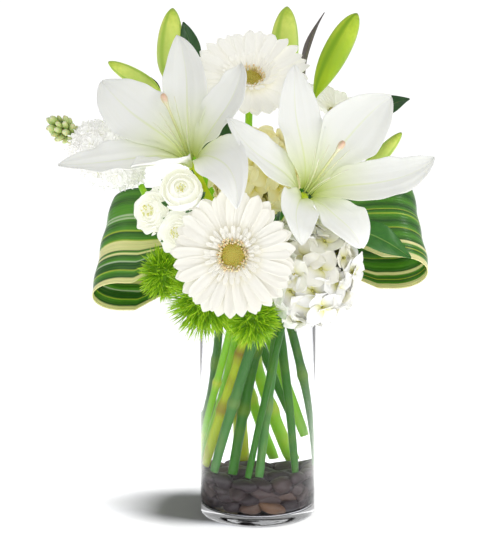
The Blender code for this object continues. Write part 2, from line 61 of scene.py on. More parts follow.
# ---- colours and shader graphs ------------------------------------------------------------------
def tone(red: int, green: int, blue: int) -> Colour:
    """Turn a display colour into the linear one that shaders use.

    Args:
        red: Red from 0 to 255.
        green: Green from 0 to 255.
        blue: Blue from 0 to 255.

    Returns:
        The same colour in linear light.
    """
    shares = (value / 255 for value in (red, green, blue))
    return tuple(c / 12.92 if c <= 0.04045 else ((c + 0.055) / 1.055) ** 2.4 for c in shares)


class Signal:
    """A value in a shader graph that takes part in Python arithmetic."""

    def __init__(self, paint: "Paint", socket: bpy.types.NodeSocket) -> None:
        """Wrap one output socket of a paint's graph."""
        self.paint = paint
        self.socket = socket

    def _sum(self, operation: str, first: "Signal | float", second: "Signal | float" = 0.0,
             clamp: bool = False) -> "Signal":
        """Add the Math node that one operator stands for.

        Args:
            operation: The Math node's operation.
            first: The first term.
            second: The second term.
            clamp: Whether the result is held between 0 and 1.

        Returns:
            The result of the operation.
        """
        return self.paint.signal("ShaderNodeMath", {"operation": operation, "use_clamp": clamp},
                                 {0: first, 1: second})

    def __add__(self, other: "Signal | float") -> "Signal":
        """Return self + other."""
        return self._sum("ADD", self, other)

    def __radd__(self, other: float) -> "Signal":
        """Return other + self."""
        return self._sum("ADD", other, self)

    def __sub__(self, other: "Signal | float") -> "Signal":
        """Return self - other."""
        return self._sum("SUBTRACT", self, other)

    def __rsub__(self, other: float) -> "Signal":
        """Return other - self."""
        return self._sum("SUBTRACT", other, self)

    def __mul__(self, other: "Signal | float") -> "Signal":
        """Return self * other."""
        return self._sum("MULTIPLY", self, other)

    def __rmul__(self, other: float) -> "Signal":
        """Return other * self."""
        return self._sum("MULTIPLY", other, self)

    def __truediv__(self, other: "Signal | float") -> "Signal":
        """Return self / other."""
        return self._sum("DIVIDE", self, other)

    def __pow__(self, other: float) -> "Signal":
        """Return self ** other."""
        return self._sum("POWER", self, other)

    def __abs__(self) -> "Signal":
        """Return the value without its sign."""
        return self._sum("ABSOLUTE", self)

    def wave(self) -> "Signal":
        """Return the sine of the value."""
        return self._sum("SINE", self)

    def held(self) -> "Signal":
        """Return the value held between 0 and 1."""
        return self._sum("ADD", self, 0.0, clamp=True)


class Paint:
    """The shader graph of one material, built round a Principled shader."""

    def __init__(self, name: str) -> None:
        """Start an empty graph.

        Args:
            name: The finish's name.
        """
        self.material = bpy.data.materials.new(f"{name}_finish")
        self.material.use_nodes = True
        self.tree = self.material.node_tree
        self.tree.nodes.clear()
        self.skin = self.node("ShaderNodeBsdfPrincipled")
        self.end = self.node("ShaderNodeOutputMaterial", {},
                             {"Surface": Signal(self, self.skin.outputs[0])})

    def node(self, kind: str, settings: dict | None = None, sockets: dict | None = None
             ) -> bpy.types.Node:
        """Add a node of any kind.

        Args:
            kind: The node's type.
            settings: Properties that are set first; "stops" are a colour ramp's.
            sockets: A value or a Signal for each input, by name or number.

        Returns:
            The new node.
        """
        made = self.tree.nodes.new(kind)
        for key, value in (settings or {}).items():
            if key == "stops":
                stops = made.color_ramp.elements
                while len(stops) < len(value):
                    stops.new(1.0)
                for stop, (place, colour) in zip(stops, value):
                    stop.position = place
                    stop.color = (*colour, 1.0)
            else:
                setattr(made, key, value)
        self.plug(made, sockets or {})
        return made

    def plug(self, node: bpy.types.Node, sockets: dict) -> None:
        """Give inputs of a node their values or links.

        Args:
            node: The node.
            sockets: A value or a Signal for each input, by name or number.
        """
        for key, value in sockets.items():
            socket = node.inputs[key]
            if isinstance(value, Signal):
                self.tree.links.new(value.socket, socket)
            elif socket.type == "RGBA":
                socket.default_value = (*value, 1.0)
            else:
                socket.default_value = value

    def signal(self, kind: str, settings: dict | None = None, sockets: dict | None = None,
               output: int | str = 0) -> Signal:
        """Add a node and return one of its outputs as a Signal."""
        return Signal(self, self.node(kind, settings, sockets).outputs[output])

    def value(self, name: str) -> Signal:
        """Return a number that the mesh carries on its points."""
        return self.signal("ShaderNodeAttribute", {"attribute_name": name}, output="Fac")

    def place(self, stretch: Point = (1.0, 1.0, 1.0)) -> Signal:
        """Return the place on the piece, scaled along each axis."""
        spot = self.signal("ShaderNodeTexCoord", output="Object")
        return self.signal("ShaderNodeMapping", {}, {"Vector": spot, "Scale": stretch})

    def spread(self, first: "Signal | float", second: "Signal | float",
               third: "Signal | float" = 0.0) -> Signal:
        """Return a vector made of three values."""
        return self.signal("ShaderNodeCombineXYZ", {}, {0: first, 1: second, 2: third})

    def cloud(self, where: Signal, scale: float, detail: float = 2.0) -> Signal:
        """Return soft noise between 0 and 1."""
        return self.signal("ShaderNodeTexNoise", {},
                           {"Vector": where, "Scale": scale, "Detail": detail})

    def blend(self, share: "Signal | float", first: "Signal | Colour",
              second: "Signal | Colour") -> Signal:
        """Return a colour between two colours.

        Args:
            share: 0 for the first colour, 1 for the second.
            first: The first colour.
            second: The second colour.

        Returns:
            The blended colour.
        """
        return self.signal("ShaderNodeMix", {"data_type": "RGBA"}, {0: share, 6: first, 7: second},
                           output=2)

    def ramp(self, where: Signal, stops: Sequence[tuple[float, Colour]]) -> Signal:
        """Return a colour read off a row of stops."""
        return self.signal("ShaderNodeValToRGB", {"stops": stops}, {"Fac": where})

    def relief(self, height: Signal, distance: float, strength: float = 1.0) -> None:
        """Give the surface fine relief.

        Args:
            height: The height of the surface from 0 to 1.
            distance: How high 1 stands, in metres.
            strength: How much of it is felt.
        """
        bump = self.signal("ShaderNodeBump", {}, {"Height": height, "Distance": distance,
                                                  "Strength": strength})
        self.plug(self.skin, {"Normal": bump})

    def dress(self, **sockets: "Signal | float | Colour") -> bpy.types.Material:
        """Set the Principled shader's inputs, with _ for each space in a name.

        Args:
            **sockets: Values or Signals, such as Base_Color or Roughness.

        Returns:
            The material.
        """
        self.plug(self.skin, {key.replace("_", " "): value for key, value in sockets.items()})
        return self.material


# ---- finishes -----------------------------------------------------------------------------------
@dataclass(frozen=True)
class ClearFinish:
    """Clear glass or water, which lets light and shadow straight through for other surfaces."""

    name: str
    tint: Colour
    depth_tint: Colour
    bend: float
    shine: float
    ripple: float = 0.00003

    def make(self) -> bpy.types.Material:
        """Build the material."""
        paint = Paint(self.name)
        cloud = paint.cloud(paint.place((1.0, 1.0, 0.35)), 22.0, 1.0)
        paint.relief(cloud, self.ripple, 0.4)
        paint.dress(Base_Color=paint.blend(cloud, self.tint, self.depth_tint), Roughness=0.0,
                    IOR=self.bend, Transmission_Weight=1.0, Specular_Tint=(self.shine,) * 3)
        rays = paint.node("ShaderNodeLightPath")
        soft = (Signal(paint, rays.outputs["Is Shadow Ray"])
                + Signal(paint, rays.outputs["Is Diffuse Ray"])).held()
        through = paint.signal("ShaderNodeBsdfTransparent", {}, {"Color": self.tint})
        mixed = paint.signal("ShaderNodeMixShader", {},
                             {0: soft, 1: Signal(paint, paint.skin.outputs[0]), 2: through})
        paint.plug(paint.end, {"Surface": mixed})
        return paint.material


@dataclass(frozen=True)
class PetalFinish:
    """A soft petal: a tinted heart, a rib, fine long veins and light that soaks in.

    Its painted glow, an emission in its colour, stands for light through the petals behind.
    """

    name: str
    white: Colour
    heart: Colour
    reach: float
    shade: Colour
    rib: float = 0.0
    veins: float = 9.0
    vein_depth: float = 0.00010
    roughness: float = 0.48
    glow: float = 0.25
    depth: float = 0.0035
    # painted glow: an emission in the petal's own colour, light that no lamp gives
    painted_glow: float = 0.0

    def make(self) -> bpy.types.Material:
        """Build the material."""
        paint = Paint(self.name)
        along, across = paint.value("along"), paint.value("across")
        heart = (1.0 - along / self.reach).held() ** 1.6
        colour = paint.blend(heart, self.white, self.heart)
        if self.rib:
            line = (1.0 - abs(across) / (0.035 + 0.05 * (1.0 - along))).held()
            line = line * (1.15 - along).held() * self.rib
            colour = paint.blend(line, colour, self.heart)
        streak = paint.cloud(paint.spread(along * 1.6, across * self.veins,
                                          paint.value("shade") * 9.0), 1.0, 3.0)
        colour = paint.blend((streak - 0.45) * 0.30, colour, self.shade)
        colour = paint.blend(paint.value("shade"), colour, self.shade)
        ridge = (across * (self.veins * 1.9)).wave() * 0.5 + streak
        paint.relief(ridge, self.vein_depth)
        return paint.dress(Base_Color=colour, Roughness=self.roughness + (streak - 0.5) * 0.12,
                           Subsurface_Weight=self.glow, Subsurface_Radius=(1.0, 0.95, 0.8),
                           Subsurface_Scale=self.depth, Specular_IOR_Level=0.32,
                           Emission_Color=colour, Emission_Strength=self.painted_glow)


@dataclass(frozen=True)
class RampFinish:
    """A small part whose colour runs from root to tip, speckled a little, with a painted glow."""

    name: str
    stops: tuple[tuple[float, Colour], ...]
    shade: Colour
    grain: float = 900.0
    grain_depth: float = 0.00012
    roughness: float = 0.5
    glow: float = 0.1
    # painted glow: an emission in the part's own colour, light that no lamp gives
    painted_glow: float = 0.0

    def make(self) -> bpy.types.Material:
        """Build the material."""
        paint = Paint(self.name)
        grain = paint.cloud(paint.place(), self.grain, 2.0)
        colour = paint.ramp(paint.value("along") + (grain - 0.5) * 0.10, self.stops)
        colour = paint.blend(paint.value("shade"), colour, self.shade)
        colour = paint.blend((grain - 0.4) * 0.5, colour, self.shade)
        # Hollows between the ridges of a lobed rod, and a blade's edge at across -1, take the shade
        # colour. On the lily buds this is partly their darker green lines and partly painted shade
        # in the grooves.
        colour = paint.blend(paint.value("across") * -1.6 - 0.7, colour, self.shade)
        paint.relief(grain, self.grain_depth, 0.7)
        return paint.dress(Base_Color=colour, Roughness=self.roughness + (grain - 0.5) * 0.2,
                           Subsurface_Weight=self.glow, Subsurface_Scale=0.002,
                           Specular_IOR_Level=0.4, Emission_Color=colour,
                           Emission_Strength=self.painted_glow)


@dataclass(frozen=True)
class StemFinish:
    """A green stem: long fibres, paler or darker joints, a dull wax and a painted glow."""

    name: str
    low: Colour
    high: Colour
    joint: Colour
    roughness: float = 0.38
    # painted glow: an emission in the stem's own colour, light that no lamp gives
    painted_glow: float = 0.20

    def make(self) -> bpy.types.Material:
        """Build the material."""
        paint = Paint(self.name)
        fibre = paint.cloud(paint.place((1.0, 1.0, 0.06)), 900.0, 2.0)
        mottle = paint.cloud(paint.place((1.0, 1.0, 0.5)), 90.0, 3.0)
        colour = paint.blend(paint.value("along"), self.low, self.high)
        colour = paint.blend((fibre - 0.40) * 0.9, colour, self.low)
        colour = paint.blend((mottle - 0.52) * 2.2, colour, self.joint)
        colour = paint.blend(paint.value("shade"), colour, self.joint)
        paint.relief(fibre + mottle, 0.00015, 0.6)
        return paint.dress(Base_Color=colour, Roughness=self.roughness + (mottle - 0.5) * 0.3,
                           Subsurface_Weight=0.08, Subsurface_Scale=0.002, Specular_IOR_Level=0.4,
                           Emission_Color=colour, Emission_Strength=self.painted_glow)


@dataclass(frozen=True)
class LeafFinish:
    """A plain leaf: light midrib, slanting side veins and a waxy sheen."""

    name: str
    dark: Colour
    light: Colour
    rib: Colour
    side_veins: float = 9.0
    roughness: float = 0.36

    def make(self) -> bpy.types.Material:
        """Build the material."""
        paint = Paint(self.name)
        along, across = paint.value("along"), paint.value("across")
        side = abs(across)
        vein = (((along * self.side_veins - side * 2.2) * (2 * pi)).wave() - 0.72).held() * 3.0
        vein = vein.held() * (1.0 - side).held()
        mottle = paint.cloud(paint.place(), 160.0, 3.0)
        colour = paint.blend(mottle * 0.9 + paint.value("shade"), self.dark, self.light)
        colour = paint.blend(vein * 0.35, colour, self.light)
        colour = paint.blend((1.0 - side / 0.07).held() * 0.8, colour, self.rib)
        groove = (side / 0.10).held() + mottle * 0.3 - vein * 0.35
        paint.relief(groove, 0.0004, 0.8)
        return paint.dress(Base_Color=colour, Roughness=self.roughness + (mottle - 0.5) * 0.2,
                           Subsurface_Weight=0.06, Subsurface_Scale=0.002, Specular_IOR_Level=0.45)


@dataclass(frozen=True)
class StripedFinish:
    """A broad variegated leaf: bands of green and cream that run its whole length."""

    name: str
    stops: tuple[tuple[float, Colour], ...]
    streak: Colour
    ribs: float = 26.0

    def make(self) -> bpy.types.Material:
        """Build the material."""
        paint = Paint(self.name)
        along, across = paint.value("along"), paint.value("across")
        drift = paint.cloud(paint.spread(along * 3.0, across * 2.0), 1.0, 1.0)
        fine = paint.cloud(paint.spread(along * 2.2, across * 62.0), 1.0, 2.0)
        spot = across * 0.5 + 0.5 + (drift - 0.5) * 0.035 + (fine - 0.5) * 0.012
        colour = paint.ramp(spot, self.stops)
        colour = paint.blend((fine - 0.50).held() * 1.5, colour, self.streak)
        ridge = (across * (self.ribs * pi)).wave() * 0.25 + fine * 0.6
        paint.relief(ridge, 0.0004, 0.9)
        return paint.dress(Base_Color=colour, Roughness=0.30 + (fine - 0.5) * 0.2,
                           Subsurface_Weight=0.05, Subsurface_Scale=0.002, Specular_IOR_Level=0.5)


@dataclass(frozen=True)
class StoneFinish:
    """Wet river stones, each with its own colour, flecked and banded."""

    name: str
    stops: tuple[tuple[float, Colour], ...]
    fleck: Colour

    def make(self) -> bpy.types.Material:
        """Build the material."""
        paint = Paint(self.name)
        spot = paint.place()
        cloud = paint.cloud(spot, 70.0, 4.0)
        grain = paint.cloud(spot, 900.0, 2.0)
        band = paint.cloud(paint.place((1.0, 0.6, 3.0)), 120.0, 3.0)
        colour = paint.ramp(paint.value("shade") + (cloud - 0.5) * 0.12, self.stops)
        colour = paint.blend((grain - 0.58) * 1.6, colour, self.fleck)
        colour = paint.blend((band - 0.60) * 1.4, colour, self.fleck)
        paint.relief(cloud + grain * 0.25, 0.0006, 0.7)
        return paint.dress(Base_Color=colour, Roughness=0.22 + cloud * 0.3,
                           Specular_IOR_Level=0.5)


@dataclass(frozen=True)
class FloorFinish:
    """A plain pale studio floor with a painted glow, off by the vase and bright in a ring round it.
    """

    name: str
    pale: Colour
    paler: Colour
    # glow: the strength of the painted glow, an emission that no lamp gives
    glow: float
    # ring: the painted glow by distance from the vase, which shapes the floor shadow
    ring: tuple[tuple[float, Colour], ...]

    def make(self) -> bpy.types.Material:
        """Build the material."""
        paint = Paint(self.name)
        cloud = paint.cloud(paint.place(), 3.0, 2.0)
        far = paint.signal("ShaderNodeVectorMath", {"operation": "LENGTH"},
                           {0: paint.place()}, "Value")
        return paint.dress(Base_Color=paint.blend(cloud * 0.1, self.pale, self.paler),
                           Roughness=0.9, Emission_Color=paint.ramp(far, self.ring),
                           Emission_Strength=self.glow, Specular_IOR_Level=0.1)


CREAM, YELLOW_GREEN = tone(240, 236, 166), tone(186, 206, 66)
SILVER, MID_GREEN, DEEP_GREEN = tone(206, 224, 188), tone(82, 150, 34), tone(30, 86, 18)

# Bands of the folded leaves, from the lower margin to the upper one.
LEFT_BANDS = (
    (0.00, CREAM), (0.045, CREAM), (0.055, DEEP_GREEN), (0.115, MID_GREEN), (0.125, YELLOW_GREEN),
    (0.135, DEEP_GREEN), (0.20, DEEP_GREEN), (0.21, SILVER), (0.222, MID_GREEN),
    (0.275, DEEP_GREEN), (0.285, CREAM), (0.30, CREAM), (0.31, MID_GREEN), (0.33, DEEP_GREEN),
    (0.34, CREAM), (0.43, CREAM), (0.44, YELLOW_GREEN), (0.45, MID_GREEN), (0.52, DEEP_GREEN),
    (0.53, YELLOW_GREEN), (0.545, MID_GREEN), (0.62, DEEP_GREEN), (0.66, MID_GREEN),
    (0.67, SILVER), (0.695, MID_GREEN), (0.71, SILVER), (0.725, MID_GREEN), (0.80, MID_GREEN),
    (0.86, DEEP_GREEN), (0.93, MID_GREEN), (1.0, DEEP_GREEN))
RIGHT_BANDS = (
    (0.00, CREAM), (0.06, CREAM), (0.07, MID_GREEN), (0.11, DEEP_GREEN), (0.12, YELLOW_GREEN),
    (0.13, DEEP_GREEN), (0.17, MID_GREEN), (0.18, CREAM), (0.205, CREAM), (0.215, DEEP_GREEN),
    (0.28, MID_GREEN), (0.36, DEEP_GREEN), (0.37, YELLOW_GREEN), (0.38, MID_GREEN),
    (0.45, DEEP_GREEN), (0.52, MID_GREEN), (0.535, YELLOW_GREEN), (0.545, MID_GREEN),
    (0.58, DEEP_GREEN), (0.59, YELLOW_GREEN), (0.60, MID_GREEN), (0.66, DEEP_GREEN),
    (0.73, MID_GREEN), (0.80, DEEP_GREEN), (0.90, MID_GREEN), (1.0, DEEP_GREEN))


class Finish(Enum):
    """Every finish of the bouquet."""

    GLASS = ClearFinish("clear_glass", (0.925, 0.930, 0.948), (0.975, 0.978, 0.985), 1.50, 0.15)
    WATER = ClearFinish("clear_water", (0.975, 0.978, 0.995), (0.985, 0.987, 0.998), 1.33, 0.0)
    STONE = StoneFinish("river_stone", (
        (0.0, tone(34, 26, 28)), (0.35, tone(58, 46, 48)), (0.62, tone(84, 68, 64)),
        (0.80, tone(112, 84, 62)), (0.92, tone(156, 112, 72)), (1.0, tone(206, 190, 140))),
        tone(120, 108, 104))
    LILY = PetalFinish("lily_petal", tone(244, 245, 240), tone(206, 222, 104), 0.56,
                       tone(216, 220, 204), rib=0.50, veins=7.0, vein_depth=0.00028, painted_glow=0.05)
    PISTIL = RampFinish("lily_pistil", (
        (0.0, tone(190, 210, 104)), (0.6, tone(222, 230, 168)), (0.88, tone(236, 232, 200)),
        (0.94, tone(232, 200, 176)), (1.0, tone(226, 184, 158))), tone(210, 200, 150))
    FILAMENT = RampFinish("lily_filament", (
        (0.0, tone(200, 216, 120)), (0.5, tone(226, 234, 184)), (1.0, tone(240, 240, 220))),
        tone(214, 216, 160))
    BUD = RampFinish("lily_bud_green", (
        (0.0, tone(96, 134, 44)), (0.40, tone(130, 166, 50)), (0.50, tone(204, 222, 90)),
        (0.66, tone(232, 240, 140)), (0.88, tone(226, 236, 116)), (0.97, tone(184, 208, 70)),
        (1.0, tone(150, 170, 80))), tone(160, 196, 66), grain=260.0, painted_glow=0.06)
    BUD_LIME = RampFinish("lime_bud_green", (
        (0.0, tone(96, 134, 44)), (0.42, tone(150, 186, 30)), (0.60, tone(186, 214, 30)),
        (0.85, tone(200, 222, 60)), (0.97, tone(176, 204, 50)), (1.0, tone(140, 160, 60))),
        tone(120, 166, 14), grain=260.0, painted_glow=0.06)
    RAY = PetalFinish("gerbera_ray", tone(248, 246, 236), tone(238, 230, 184), 0.50,
                      tone(232, 224, 200), veins=3.2, vein_depth=0.00020, glow=0.2,
                      painted_glow=0.06)
    # The two rear gerberas take more painted glow, which lifts them out of their shade.
    RAY_REAR = PetalFinish("rear_gerbera_ray", tone(250, 249, 242), tone(244, 240, 214), 0.40,
                           tone(240, 234, 218), veins=3.2, vein_depth=0.00016, glow=0.2, painted_glow=0.14)
    EYE = RampFinish("gerbera_eye", (
        (0.0, tone(190, 178, 60)), (0.35, tone(222, 204, 110)), (0.7, tone(244, 226, 180)),
        (1.0, tone(252, 242, 214))), tone(240, 214, 160), grain=1400.0, glow=0.3)
    EYE_CORE = RampFinish("gerbera_eye_core", (
        (0.0, tone(168, 156, 30)), (0.6, tone(196, 184, 56)), (1.0, tone(212, 204, 96))),
        tone(222, 206, 110), grain=1400.0, glow=0.3)
    SEPAL = PetalFinish("hydrangea_sepal", tone(248, 248, 246), tone(228, 226, 130), 0.50,
                        tone(236, 228, 170), veins=4.0, vein_depth=0.00016, glow=0.2)
    SEPAL_CREAM = PetalFinish("hydrangea_cream_sepal", tone(250, 244, 200), tone(228, 218, 100),
                              0.60, tone(226, 214, 110), veins=4.0, vein_depth=0.00016, glow=0.2,
                              painted_glow=0.10)
    CORE = RampFinish("hydrangea_core", ((0.0, tone(150, 150, 60)), (1.0, tone(190, 186, 96))),
                      tone(130, 140, 50), grain=420.0)
    ROSE = PetalFinish("rose_petal", tone(250, 250, 244), tone(232, 232, 160), 0.45,
                       tone(236, 238, 206), veins=4.0, vein_depth=0.00012, glow=0.2, painted_glow=0.16)
    ROSE_HEART = RampFinish("rose_heart", ((0.0, tone(222, 220, 140)), (1.0, tone(240, 238, 190))),
                            tone(206, 208, 112), grain=600.0, painted_glow=0.10)
    STOCK = PetalFinish("stock_petal", tone(251, 251, 248), tone(230, 236, 180), 0.42,
                        tone(238, 236, 236), veins=3.0, vein_depth=0.00016, glow=0.2, painted_glow=0.14)
    STOCK_BUD = RampFinish("stock_bud", (
        (0.0, tone(110, 146, 50)), (0.5, tone(160, 188, 90)), (0.8, tone(214, 224, 160)),
        (1.0, tone(242, 244, 222))), tone(196, 204, 140), glow=0.3)
    # The moss's strong painted glow lifts the shade among its blades.
    TRICK = RampFinish("trick_green", (
        (0.0, tone(58, 96, 10)), (0.35, tone(98, 146, 16)), (0.75, tone(156, 196, 28)),
        (1.0, tone(204, 228, 66))), tone(84, 126, 12), grain=500.0, glow=0.2, painted_glow=0.42)
    STEM_LIME = StemFinish("lime_stem", tone(178, 198, 30), tone(184, 206, 30), tone(140, 104, 30))
    STEM_FRESH = StemFinish("fresh_stem", tone(130, 196, 16), tone(120, 186, 14),
                            tone(188, 200, 60))
    STEM_DEEP = StemFinish("deep_stem", tone(48, 112, 10), tone(44, 104, 10), tone(100, 136, 26))
    STEM_BLUE = StemFinish("bluish_stem", tone(74, 132, 56), tone(50, 108, 34), tone(116, 146, 70))
    STRIPED_LEFT = StripedFinish("left_striped_leaf", LEFT_BANDS, tone(118, 170, 40))
    STRIPED_RIGHT = StripedFinish("right_striped_leaf", RIGHT_BANDS, tone(98, 142, 44))
    LEAF = LeafFinish("bright_leaf", tone(30, 92, 22), tone(66, 134, 38), tone(136, 176, 84))
    LEAF_DARK = LeafFinish("dark_leaf", tone(22, 62, 24), tone(50, 96, 44), tone(96, 134, 80))
    SPEAR = LeafFinish("spear_leaf", tone(92, 84, 84), tone(124, 116, 116), tone(66, 92, 54),
                       side_veins=3.0)
    # The floor's painted glow is off within 85 mm of the vase, full from 150 to 300 mm and faint by
    # 600 mm. It keeps the shadow dark beside the vase and fades its tail away.
    FLOOR = FloorFinish("pale_floor_with_painted_glow", (0.355, 0.355, 0.355), (0.40, 0.40, 0.40), 0.85, (
        (0.085, (0.0, 0.0, 0.0)), (0.150, (1.0, 1.0, 1.0)), (0.30, (1.0, 1.0, 1.0)),
        (0.60, (0.05, 0.05, 0.05))))

    @property
    def material(self) -> bpy.types.Material:
        """The finish's material, built the first time that it is asked for."""
        return bpy.data.materials.get(f"{self.value.name}_finish") or self.value.make()


# ---- modelling ----------------------------------------------------------------------------------
def smooth_route(points: Sequence[Point | Vector], count: int) -> list[Vector]:
    """Place even steps on the smooth curve through given points.

    Args:
        points: The points that the curve passes.
        count: How many steps to return.

    Returns:
        The steps, evenly spaced along the curve.
    """
    knots = [Vector(point) for point in points]
    knots = [2 * knots[0] - knots[1]] + knots + [2 * knots[-1] - knots[-2]]
    dense = []
    for before, start, end, after in zip(knots, knots[1:], knots[2:], knots[3:]):
        for step in range(24):
            t = step / 24
            dense.append(0.5 * (2 * start + (end - before) * t
                                + (2 * before - 5 * start + 4 * end - after) * t ** 2
                                + (3 * start - before - 3 * end + after) * t ** 3))
    dense.append(knots[-2])
    lengths = [0.0]
    for first, second in zip(dense, dense[1:]):
        lengths.append(lengths[-1] + (second - first).length)
    route, at = [], 0
    for step in range(count):
        target = lengths[-1] * step / (count - 1)
        while at < len(dense) - 2 and lengths[at + 1] < target:
            at += 1
        span = max(lengths[at + 1] - lengths[at], 1e-9)
        route.append(dense[at].lerp(dense[at + 1], (target - lengths[at]) / span))
    return route


def facing(place: Point | Vector, direction: Point | Vector, roll: float = 0.0) -> Matrix:
    """Make the matrix that turns +Z along a direction.

    Args:
        place: Where the origin goes.
        direction: Where +Z points.
        roll: A turn about that direction, in radians.

    Returns:
        The matrix.
    """
    turn = Vector(direction).normalized().to_track_quat("Z", "Y").to_matrix().to_4x4()
    return Matrix.Translation(Vector(place)) @ turn @ Matrix.Rotation(roll, 4, "Z")


def compass(turn: float) -> tuple[Vector, Vector]:
    """Return the level directions outward and sideways at an angle round +Z."""
    return Vector((cos(turn), sin(turn), 0)), Vector((-sin(turn), cos(turn), 0))


def stretched(way: Vector, radii: Point, share: float = 1.0) -> Vector:
    """Carry a direction out to a share of an ellipsoid's radii."""
    return Vector([way[axis] * radii[axis] * share for axis in range(3)])


def oval(middle: Vector, radii: Sequence[float], share: float = 1.0) -> Matrix:
    """Return the matrix that makes an ellipsoid of a unit ball, at a share of its radii."""
    return Matrix.Translation(middle) @ Matrix.Diagonal((*(share * r for r in radii), 1))


def jolt(chance: Random) -> Vector:
    """Return a random vector with every part between -1 and 1."""
    return Vector([chance.uniform(-1, 1) for _ in range(3)])


def clamped(value: float) -> float:
    """Return a value held between 0 and 1."""
    return min(1.0, max(0.0, value))


def spread_directions(count: int, chance: Random | None = None, jitter: float = 0.0
                      ) -> list[Vector]:
    """Spread directions over a sphere.

    Args:
        count: How many directions.
        chance: The source of small random shifts.
        jitter: How large the shifts are.

    Returns:
        The unit directions.
    """
    ways = []
    for index in range(count):
        height = 1 - 2 * (index + 0.5) / count
        ring = sqrt(1 - height * height)
        way = Vector((ring * cos(GOLDEN * index), ring * sin(GOLDEN * index), height))
        if chance:
            way += jitter * jolt(chance)
        ways.append(way.normalized())
    return ways


